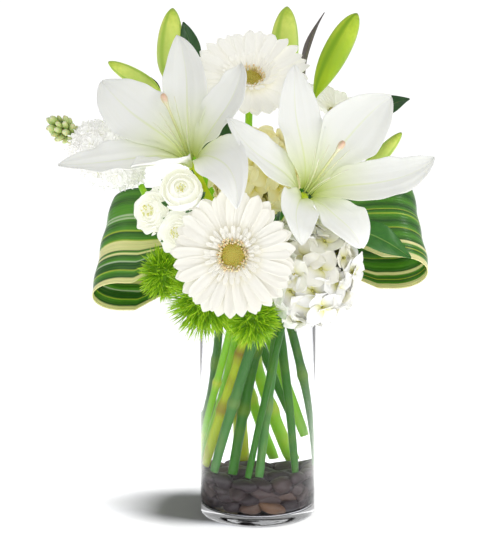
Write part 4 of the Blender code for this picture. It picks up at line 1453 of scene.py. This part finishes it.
# ---- clustered flowers --------------------------------------------------------------------------
@dataclass
class Hydrangea:
    """A mop head: four-sepalled florets held out on thin stalks from a small core."""

    name: str
    centre: Point
    radii: Point
    finish: Finish
    florets: int
    sepal: float
    deep: float
    seed: int
    core_share: float = 0.52
    eye_radius: float = 0.0013
    stalk_radii: tuple[float, ...] = (0.0011, 0.0009, 0.0008, 0.0008)
    thickness: float = 0.0004

    def sepal_blade(self, form: Form, matrix: Matrix, turn: float, size: float, shade: float,
                    chance: Random) -> None:
        """Add one broad sepal with a small point and a puckered edge.

        Args:
            form: The mesh that it joins.
            matrix: The floret's frame.
            turn: The sepal's angle round the floret.
            size: Its length.
            shade: Its tint.
            chance: The source of its differences.
        """
        wide, bend = size * chance.uniform(0.98, 1.18), chance.uniform(-0.35, 0.35)
        twist, seed = chance.uniform(-0.35, 0.35), chance.uniform(0, 40)
        way, across = compass(turn)

        def shape(x: float, side: float) -> Vector:
            """Place one point of the sepal."""
            full = sin(pi * (0.06 + 0.94 * x) ** 0.92) ** 0.50 if x < 1 else 0.0
            half = wide / 2 * max(full, 0.10)
            out = 0.0006 + size * x * (1 - 0.05 * side * side)
            height = size * (0.10 * x + bend * x * x * 0.6 + 0.10 * side * side * x)
            height += twist * side * half * x
            height += 0.20 * size * noise.noise(Vector((2.2 * x, 1.8 * side, seed))) * x
            return matrix @ (way * out + across * side * half + Vector((0, 0, height)))

        form.blade(6, 6, shape, shade)

    def build(self) -> None:
        """Build the florets, their eyes and the core."""
        chance = Random(self.seed)
        middle = Vector(self.centre)
        sepals, rest = Form(), Form()
        for way in spread_directions(self.florets, chance, 0.10):
            depth = chance.uniform(0.80, 0.99)
            spot = middle + stretched(way, self.radii) * depth
            out = Vector([way[k] / self.radii[k] for k in range(3)]).normalized()
            tilt = (out + 0.30 * jolt(chance)).normalized()
            matrix = facing(spot, tilt, chance.uniform(0, pi / 2))
            # Each floret's tint varies at random. Florets set deeper in the head lean further to
            # the darker, yellower shade colour: painted shade in the head's recesses.
            shade = clamped(chance.gauss(self.deep, 0.12) + (0.90 - depth) * 2.0)
            size = self.sepal * chance.uniform(0.86, 1.12)
            for index in range(4):
                low = matrix @ Matrix.Translation((0, 0, -0.0007 * (index % 2)))
                self.sepal_blade(sepals, low, pi / 2 * index + chance.uniform(-0.12, 0.12),
                                 size, shade, chance)
            eye = matrix @ Matrix.Translation((0, 0, 0.0010)) @ Matrix.Scale(self.eye_radius, 4)
            rest.ball(eye, 2, 0.1, 0.0)
            rest.rod([middle.lerp(spot, share) for share in (0.35, 0.6, 0.8, 0.985)],
                     self.stalk_radii, 6, 0.3)
        sepals.piece(f"{self.name}_florets", "hydrangea_petal", self.finish, [f"{self.name}_head"],
                     self.thickness, 1)
        rest.ball(oval(middle, self.radii, self.core_share), 4, 0.35, 0.5, 5.0)
        rest.piece(f"{self.name}_core", "hydrangea_petal", Finish.CORE)


HYDRANGEAS = (
    Hydrangea("hydrangea_upper", (-0.002, -0.036, 0.309), (0.038, 0.034, 0.036),
              Finish.SEPAL_CREAM, florets=54, sepal=0.0150, deep=0.12, seed=21),
    Hydrangea("hydrangea_lower", (0.043, -0.071, 0.233), (0.040, 0.034, 0.045), Finish.SEPAL,
              florets=58, sepal=0.0172, deep=0.06, seed=4),
)


@dataclass(frozen=True)
class Opening:
    """How a rose's petals stand.

    Attributes:
        counts: Petals in each layer, from the heart outwards.
        closed: How far the inmost layer closes over the heart, in radians.
        opened: How much less the outermost layer closes.
        lip: How far the outermost lips roll out, as a share of the cup.
        ruffle: How wavy the outermost lips are.
        heart: The size of the heart, as a share of the rose.
        heart_lift: How high the heart stands, as a share of the rose.
    """

    counts: tuple[int, ...]
    closed: float
    opened: float
    lip: float
    ruffle: float
    heart: float
    heart_lift: float


class RoseShape(Enum):
    """How far a small rose has opened."""

    GLOBE = Opening((2, 3, 3, 4), 2.86, 0.84, 0.05, 0.16, 0.20, 0.30)
    RUFFLED = Opening((3, 4, 4, 5, 6), 2.30, 0.72, 0.24, 0.42, 0.28, 0.42)
    OPEN = Opening((2, 3, 3, 4, 5), 2.30, 0.72, 0.24, 0.26, 0.28, 0.42)


@dataclass(frozen=True)
class Rose:
    """A small cupped rose: layers of petals that close in on its heart, over green sepals."""

    centre: Point
    normal: Point
    radius: float
    shape: RoseShape
    seed: int
    heart_grains: int = 22
    thickness: float = 0.0005
    sepal_thickness: float = 0.0004

    @property
    def seat(self) -> Vector:
        """Where the stalk meets the rose."""
        below = 0.95 * self.radius + 0.0015
        return Vector(self.centre) - Vector(self.normal).normalized() * below

    def petal(self, form: Form, turn: float, reach: float, close: float, wide: float, lip: float,
              ruffle: float, chance: Random) -> None:
        """Add one petal, part of a cup with a lip that rolls outwards.

        Args:
            form: The mesh that it joins.
            turn: Its angle round the rose.
            reach: The cup's radius.
            close: How far over the cup closes, in radians from its base.
            wide: Half its width, in radians round the cup.
            lip: How far the lip rolls out, as a share of the reach.
            ruffle: How wavy the lip is.
            chance: The source of its differences.
        """
        matrix = facing(self.centre, self.normal, turn)
        seed, tall = chance.uniform(0, 50), chance.uniform(0.96, 1.05)

        def shape(x: float, side: float) -> Vector:
            """Place one point of the petal."""
            polar = 0.25 + (close - 0.25) * x * (1 - 0.10 * side * side)
            spread = side * wide * (0.35 + 0.65 * sin(pi / 2 * min(1.0, x * 1.5)))
            roll = lip * max(0.0, (x - 0.72) / 0.28) ** 2
            wave = ruffle * noise.noise(Vector((1.4 * x, 3.2 * side, seed))) * x * x
            size = reach * (1 + roll + wave + 0.03 * side * side)
            level = size * sin(polar)
            return matrix @ Vector((level * cos(spread), level * sin(spread),
                                    -size * cos(polar) * tall))

        form.blade(9, 9, shape, chance.uniform(0.0, 0.2))

    def build(self, name: str) -> None:
        """Build the petals, the heart and the sepals."""
        chance = Random(self.seed)
        opening = self.shape.value
        form = Form()
        for layer, count in enumerate(opening.counts):
            share = layer / (len(opening.counts) - 1)
            reach = self.radius * (0.40 + 0.58 * share)
            close = opening.closed - opening.opened * share
            lip = opening.lip * share
            ruffle = opening.ruffle * (0.5 + 0.5 * share)
            start = chance.uniform(0, 1)
            for index in range(count):
                turn = 2 * pi * (index + start + chance.uniform(-0.12, 0.12)) / count
                self.petal(form, turn, reach * chance.uniform(0.95, 1.05), close,
                           pi / count * 1.45, lip, ruffle, chance)
        form.piece(name + "_bloom", "rose_petal", Finish.ROSE, [name], self.thickness, 1)
        heart, matrix = Form(), facing(self.centre, self.normal)
        size = self.radius * opening.heart
        for way in spread_directions(self.heart_grains, chance, 0.2):
            spot = matrix @ (Vector((0, 0, self.radius * opening.heart_lift)) + size * way)
            heart.ball(Matrix.Translation(spot) @ Matrix.Scale(self.radius * 0.055, 4), 1, 0.0,
                       chance.uniform(0, 0.5))
        seat = (0.30 * self.radius, 0.30 * self.radius, 0.22 * self.radius, 1)
        heart.ball(matrix @ Matrix.Translation((0, 0, -0.86 * self.radius))
                   @ Matrix.Diagonal(seat), 2, 0.1, 0.2)
        heart.piece(name + "_heart", "rose_petal", Finish.ROSE_HEART)
        sepals = Form()
        for index in range(5):
            turn = 2 * pi * index / 5 + chance.uniform(-0.2, 0.2)
            place = facing(self.centre, self.normal, turn)

            def shape(x: float, side: float) -> Vector:
                """Place one point of a sepal that hugs the cup."""
                polar = 0.20 + 1.45 * x
                size = self.radius * (1.02 + 0.14 * x * x)
                half = 0.30 * sin(pi * (0.12 + 0.88 * x) ** 0.7) * side
                return place @ Vector((size * sin(polar) * cos(half), size * sin(polar) * sin(half),
                                       -size * cos(polar)))

            sepals.blade(7, 3, shape, 0.1)
        sepals.piece(name + "_sepals", "leaf_green", Finish.LEAF, thickness=self.sepal_thickness)


ROSES = {
    "rose_1": Rose((-0.063, -0.096, 0.303), (-0.10, -0.85, 0.50), 0.0170, RoseShape.GLOBE, 3),
    "rose_2": Rose((-0.089, -0.064, 0.281), (-0.60, -0.75, 0.25), 0.0165, RoseShape.RUFFLED, 7),
    "rose_3": Rose((-0.066, -0.086, 0.267), (-0.35, -0.92, 0.10), 0.0155, RoseShape.OPEN, 12),
}


@dataclass
class Stock:
    """A spike of stock: crumpled double florets below and a tuft of green buds at the tip."""

    axis: Point = (-0.83, 0.05, 0.52)
    florets: Point = (-0.131, -0.014, 0.322)
    floret_radii: Point = (0.028, 0.026, 0.040)
    buds: Point = (-0.1675, -0.0115, 0.3440)
    bud_radii: Point = (0.0100, 0.0100, 0.0150)
    petal_rings: tuple[tuple[float, int], ...] = ((1.0, 6), (0.72, 5), (0.40, 4))
    floret_count: int = 34
    bud_count: int = 30
    thickness: float = 0.0004
    seed: int = 17

    def floret(self, form: Form, matrix: Matrix, size: float, chance: Random) -> None:
        """Add one double floret of crumpled petals.

        Args:
            form: The mesh that it joins.
            matrix: The floret's frame.
            size: Its radius.
            chance: The source of its differences.
        """
        for ring, count in self.petal_rings:
            for index in range(count):
                turn = 2 * pi * (index + chance.uniform(-0.2, 0.2)) / count + ring * 3
                (way, across), seed = compass(turn), chance.uniform(0, 60)
                stand = (1.0 - ring) * 1.3 + chance.uniform(0.1, 0.4)

                def shape(x: float, side: float) -> Vector:
                    """Place one point of a crumpled petal."""
                    half = size * ring * 0.62 * (0.25 + 0.75 * sin(pi / 2 * min(1, x * 1.4)))
                    out = size * ring * x * (1 - 0.12 * side * side)
                    crumple = noise.noise(Vector((2.5 * x, 3.0 * side, seed))) * 0.42 * size * x
                    return matrix @ (way * out + across * side * half
                                     + Vector((0, 0, size * stand * x * 0.6 + crumple)))

                form.blade(5, 6, shape, chance.uniform(0.0, 0.35))

    def build(self) -> None:
        """Build the florets and the buds."""
        chance = Random(self.seed)
        turn = Vector(self.axis).to_track_quat("Z", "Y").to_matrix().to_4x4()
        form = Form()
        for way in spread_directions(self.floret_count, chance, 0.12):
            spot = Vector(self.florets) + turn @ stretched(way, self.floret_radii, 0.72)
            out = turn @ way + 0.35 * Vector(self.axis)
            matrix = facing(spot, out, chance.uniform(0, pi))
            self.floret(form, matrix, chance.uniform(0.0105, 0.0140), chance)
        form.piece("stock_double_florets", "stock_petal", Finish.STOCK, ["stock_florets"],
                   self.thickness, 1)
        form = Form()
        for way in spread_directions(self.bud_count, chance, 0.15):
            spot = Vector(self.buds) + turn @ stretched(way, self.bud_radii, 0.78)
            out = turn @ way + 0.8 * Vector(self.axis)
            size = chance.uniform(0.0020, 0.0030)
            body = facing(spot, out) @ Matrix.Diagonal((size, size, size * 1.9, 1.0))
            form.ball(body, 2, 0.10, chance.uniform(0.0, 0.7), 2.0)
            form.rod([Vector(self.buds).lerp(spot, share) for share in (0.1, 0.5, 0.9)],
                     [0.0010, 0.0008, 0.0007], 6, 0.0)
        form.piece("stock_bud_tuft", "stock_bud", Finish.STOCK_BUD, ["stock_buds"])


@dataclass(frozen=True)
class MossBall:
    """A green dianthus ball of many fine curved blades."""

    centre: Point
    radii: Point
    blades: int
    seed: int
    core_share: float = 0.66

    def build(self, name: str) -> None:
        """Build the blades over a dark core."""
        chance = Random(self.seed)
        form = Form()
        middle = Vector(self.centre)
        for way in spread_directions(self.blades, chance, 0.16):
            lean = (way + 0.5 * jolt(chance) + Vector((0, 0, -0.10))).normalized()
            root = middle + stretched(way, self.radii, self.core_share)
            length = chance.uniform(0.45, 0.95) * min(self.radii)
            side = lean.cross(way + Vector((0.01, 0.02, 0.03))).normalized()
            bow = lean.cross(side) * chance.uniform(-0.35, 0.35) * length
            half = chance.uniform(0.00050, 0.00085)

            def shape(x: float, across: float) -> Vector:
                """Place one point of a blade."""
                width = half * (1 - x) ** 0.5 + 0.00005
                return root + lean * length * x + bow * x * x + side * across * width

            form.blade(4, 1, shape, chance.uniform(0.0, 0.75))
        form.ball(oval(middle, self.radii, self.core_share), 4, 0.22, 1.0, 6.0)
        form.piece(name + "_moss", "trick_green", Finish.TRICK, [name])


MOSS_BALLS = {
    "green_trick_1": MossBall((-0.044, -0.077, 0.212), (0.024, 0.024, 0.031), 1500, 31),
    "green_trick_2": MossBall((-0.005, -0.081, 0.195), (0.018, 0.021, 0.021), 1100, 32),
    "green_trick_3": MossBall((-0.081, -0.058, 0.227), (0.015, 0.019, 0.020), 900, 33),
}


# ---- leaves -------------------------------------------------------------------------------------
@dataclass
class FoldedLeaf:
    """A broad striped leaf bent back on itself beside the bouquet."""

    name: str
    side: int
    lower_corner: Point
    width: float
    depth: float
    run: float
    slant: float
    finish: Finish
    lean: float = radians(41)
    thickness: float = 0.0009

    def build(self) -> None:
        """Build the blade: a run out, a round bend and a run back."""
        out = Vector((self.side, 0, 0))
        across = Vector((self.side * self.slant, sin(self.lean), cos(self.lean))).normalized()
        front = Vector((0, -cos(self.lean), sin(self.lean)))
        bend = self.depth / 2
        bend_length = pi * bend
        total = 2 * self.run + bend_length
        middle = Vector(self.lower_corner) - bend * out

        def shape(x: float, side: float) -> Vector:
            """Place one point of the blade."""
            along = x * total
            if along < self.run:
                place, way = middle + front * bend - out * (self.run - along), front
            elif along < self.run + bend_length:
                angle = (along - self.run) / bend
                way = front * cos(angle) + out * sin(angle)
                place = middle + way * bend
            else:
                place = middle - front * bend - out * (along - self.run - bend_length)
                way = -front
            taper = min(1.0, 0.45 + 2.6 * min(along, total - along) / total)
            height = (side + 1) / 2
            swell = 0.0016 * noise.noise(Vector((3.0 * x, 1.7 * side, self.width * 90)))
            swell += 0.0006 * sin(side * 9.0 + 2.0 * x)
            return place + across * self.width * (0.5 + (height - 0.5) * taper) + way * swell

        form = Form()
        form.blade(90, 30, shape)
        form.piece(f"{self.name}_blade", "striped_leaf", self.finish, [self.name],
                   self.thickness, 1)


FOLDED_LEAVES = (
    FoldedLeaf("aspidistra_left", -1, (-0.144, -0.024, 0.200), 0.098, 0.050, 0.048, -0.15,
               Finish.STRIPED_LEFT),
    FoldedLeaf("aspidistra_right", 1, (0.147, -0.024, 0.221), 0.082, 0.054, 0.056, -0.12,
               Finish.STRIPED_RIGHT),
)


@dataclass(frozen=True)
class SmallLeaf:
    """A pointed leaf from base to tip, folded a little along its midrib."""

    base: Point
    tip: Point
    width: float
    up: Point
    finish: Finish = Finish.LEAF_DARK
    sag: float = 0.10
    fold: float = 0.12
    stalk_from: Point | None = None
    thickness: float = 0.0006

    def build(self, name: str) -> None:
        """Build the blade, and its leafstalk where it shows."""
        start, end = Vector(self.base), Vector(self.tip)
        along = (end - start).normalized()
        length = (end - start).length
        lift = Vector(self.up)
        lift = (lift - along * lift.dot(along)).normalized()
        across = lift.cross(along)

        def shape(x: float, side: float) -> Vector:
            """Place one point of the blade."""
            half = max(0.0005, self.width / 2 * sin(pi * x ** 0.85) ** 0.8 if 0 < x < 1 else 0)
            bow = self.sag * length * sin(pi * x)
            wave = 0.03 * self.width * sin(11 * x + 2 * side) * abs(side)
            dip = -0.02 * self.width * exp(-(side / 0.14) ** 2)
            return (start + along * length * x + across * side * half
                    + lift * (bow + self.fold * abs(side) * half + wave + dip))

        form = Form()
        form.blade(26, 10, shape)
        form.piece(name + "_blade", "leaf_green", self.finish, [name], self.thickness, 1)
        if self.stalk_from:
            form = Form()
            root = Vector(self.stalk_from)
            middle = root.lerp(start, 0.5) + lift * 0.003
            form.rod(smooth_route([root, middle, start, start + along * length * 0.12], 16),
                     [0.0013 - 0.00004 * k for k in range(16)], 8)
            form.piece(name + "_petiole", "leaf_green", Finish.STEM_DEEP)


SMALL_LEAVES = {
    "leaf_front_right": SmallLeaf((0.0690, -0.0520, 0.2680), (0.1290, -0.0560, 0.2400), 0.0270,
                                  (0.2, -0.75, 0.6), Finish.LEAF,
                                  stalk_from=(0.046, -0.030, 0.262)),
    "leaf_back_right": SmallLeaf((0.0960, 0.0160, 0.3500), (0.1320, 0.0140, 0.3680), 0.0240,
                                 (-0.2, -0.6, 0.75), stalk_from=(0.060, 0.030, 0.300)),
    "leaf_top_left": SmallLeaf((-0.0560, 0.0240, 0.3930), (-0.0650, 0.0240, 0.4340), 0.0180,
                               (0.3, -0.9, 0.1), stalk_from=(-0.054, 0.020, 0.335)),
    "leaf_back_left": SmallLeaf((-0.0860, 0.0340, 0.3640), (-0.1080, 0.0300, 0.3900), 0.0160,
                                (0.1, -0.8, 0.5), stalk_from=(-0.056, 0.020, 0.322)),
    "leaf_spear": SmallLeaf((0.0400, 0.0300, 0.3740), (0.0580, 0.0300, 0.4420), 0.0120,
                            (-0.9, -0.4, 0.1), Finish.SPEAR, stalk_from=(0.033, 0.020, 0.322)),
    "leaf_rear_left": SmallLeaf((0.0, 0.0620, 0.2820), (-0.0640, 0.0760, 0.3480), 0.0560,
                                (-0.15, 0.93, 0.2), stalk_from=(0.006, 0.050, 0.268)),
    "leaf_rear_right": SmallLeaf((0.0120, 0.0560, 0.2500), (0.0560, 0.0900, 0.3080), 0.0520,
                                 (0.2, 0.9, 0.35), stalk_from=(0.008, 0.046, 0.246)),
}


# ---- studio -------------------------------------------------------------------------------------
class FloorLight(Enum):
    """Whether a lamp lights nothing but the floor, or all but the floor."""

    ONLY = "INCLUDE"
    NONE = "EXCLUDE"


@dataclass(frozen=True)
class SoftSun:
    """A distant lamp: its irradiance, its width in degrees, its way and what it lights."""

    name: str
    strength: float
    softness: float
    way: Point
    floor: FloorLight


@dataclass
class Studio:
    """Camera, soft light and the pale floor."""

    aim: Point = (-0.0148, 0.0, 0.2193)
    height: float = 10.5
    distance: float = 1.6
    lens: float = 121.7
    sensor: float = 36.0
    sight: float = 100.0
    room: float = 0.50
    floor_size: float = 20.0
    floor_drop: float = 0.0002
    suns: tuple[SoftSun, ...] = (
        SoftSun("flower_sun", 0.58, 14.0, (-0.80, 0.42, -0.75), FloorLight.NONE),
        SoftSun("front_sun", 0.46, 40.0, (0.12, 1.0, -0.30), FloorLight.NONE),
        SoftSun("floor_sun", 17.0, 26.0, (-0.87, 0.16, -0.45), FloorLight.ONLY))

    def camera(self) -> None:
        """Place the camera level with the middle of the bouquet, a little above it."""
        lift = radians(self.height)
        spot = Vector(self.aim) + self.distance * Vector((0, -cos(lift), sin(lift)))
        data = bpy.data.cameras.new("studio_camera")
        data.lens, data.sensor_width, data.clip_end = self.lens, self.sensor, self.sight
        camera = bpy.data.objects.new("studio_camera", data)
        camera.location = spot
        camera.rotation_euler = (Vector(self.aim) - spot).to_track_quat("-Z", "Y").to_euler()
        bpy.context.scene.collection.objects.link(camera)
        bpy.context.scene.camera = camera

    def light(self) -> None:
        """Light the room evenly and add the soft suns."""
        world = bpy.data.worlds.new("studio_light")
        world.use_nodes = True
        background = world.node_tree.nodes["Background"]
        background.inputs["Color"].default_value = (1.0, 1.0, 1.0, 1.0)
        background.inputs["Strength"].default_value = self.room
        bpy.context.scene.world = world
        for sun in self.suns:
            self.sun(sun)

    def sun(self, plan: SoftSun) -> None:
        """Add one soft sun that lights either the floor or all but the floor.

        Args:
            plan: The lamp's plan.
        """
        data = bpy.data.lights.new(plan.name, "SUN")
        data.energy, data.angle = plan.strength, radians(plan.softness)
        lamp = bpy.data.objects.new(plan.name, data)
        lamp.rotation_euler = Vector(plan.way).to_track_quat("-Z", "Y").to_euler()
        bpy.context.scene.collection.objects.link(lamp)
        receivers = bpy.data.collections.new(plan.name + "_receivers")
        receivers.objects.link(bpy.data.objects["studio_floor"])
        receivers.collection_objects[0].light_linking.link_state = plan.floor.value
        lamp.light_linking.receiver_collection = receivers

    def floor(self) -> None:
        """Lay the wide pale floor."""
        bm = bmesh.new()
        bmesh.ops.create_grid(bm, x_segments=2, y_segments=2, size=self.floor_size)
        bmesh.ops.translate(bm, vec=(0, 0, -self.floor_drop), verts=bm.verts)
        mesh = bpy.data.meshes.new("studio_floor")
        bm.to_mesh(mesh)
        bm.free()
        mesh.materials.append(Finish.FLOOR.material)
        floor = bpy.data.objects.new("studio_floor", mesh)
        bpy.context.scene.collection.objects.link(floor)

    def build(self) -> None:
        """Set up the studio."""
        self.camera()
        self.floor()
        self.light()
        bpy.context.scene.view_settings.view_transform = "Standard"


def main() -> None:
    """Build the bouquet piece by piece."""
    logging.basicConfig(level=logging.INFO, format="%(name)s %(message)s")
    Studio().build()
    vase = Vase()
    vase.build()
    StoneBed(vase).build()
    StemBundle().build()
    for lily in LILIES:
        lily.build()
    for name, bud in BUDS.items():
        bud.build(name)
    for gerbera in GERBERAS:
        gerbera.build()
    for hydrangea in HYDRANGEAS:
        hydrangea.build()
    for name, rose in ROSES.items():
        rose.build(name)
    Stock().build()
    for name, ball in MOSS_BALLS.items():
        ball.build(name)
    for leaf in FOLDED_LEAVES:
        leaf.build()
    for name, leaf in SMALL_LEAVES.items():
        leaf.build(name)


if __name__ == "__main__":
    main()
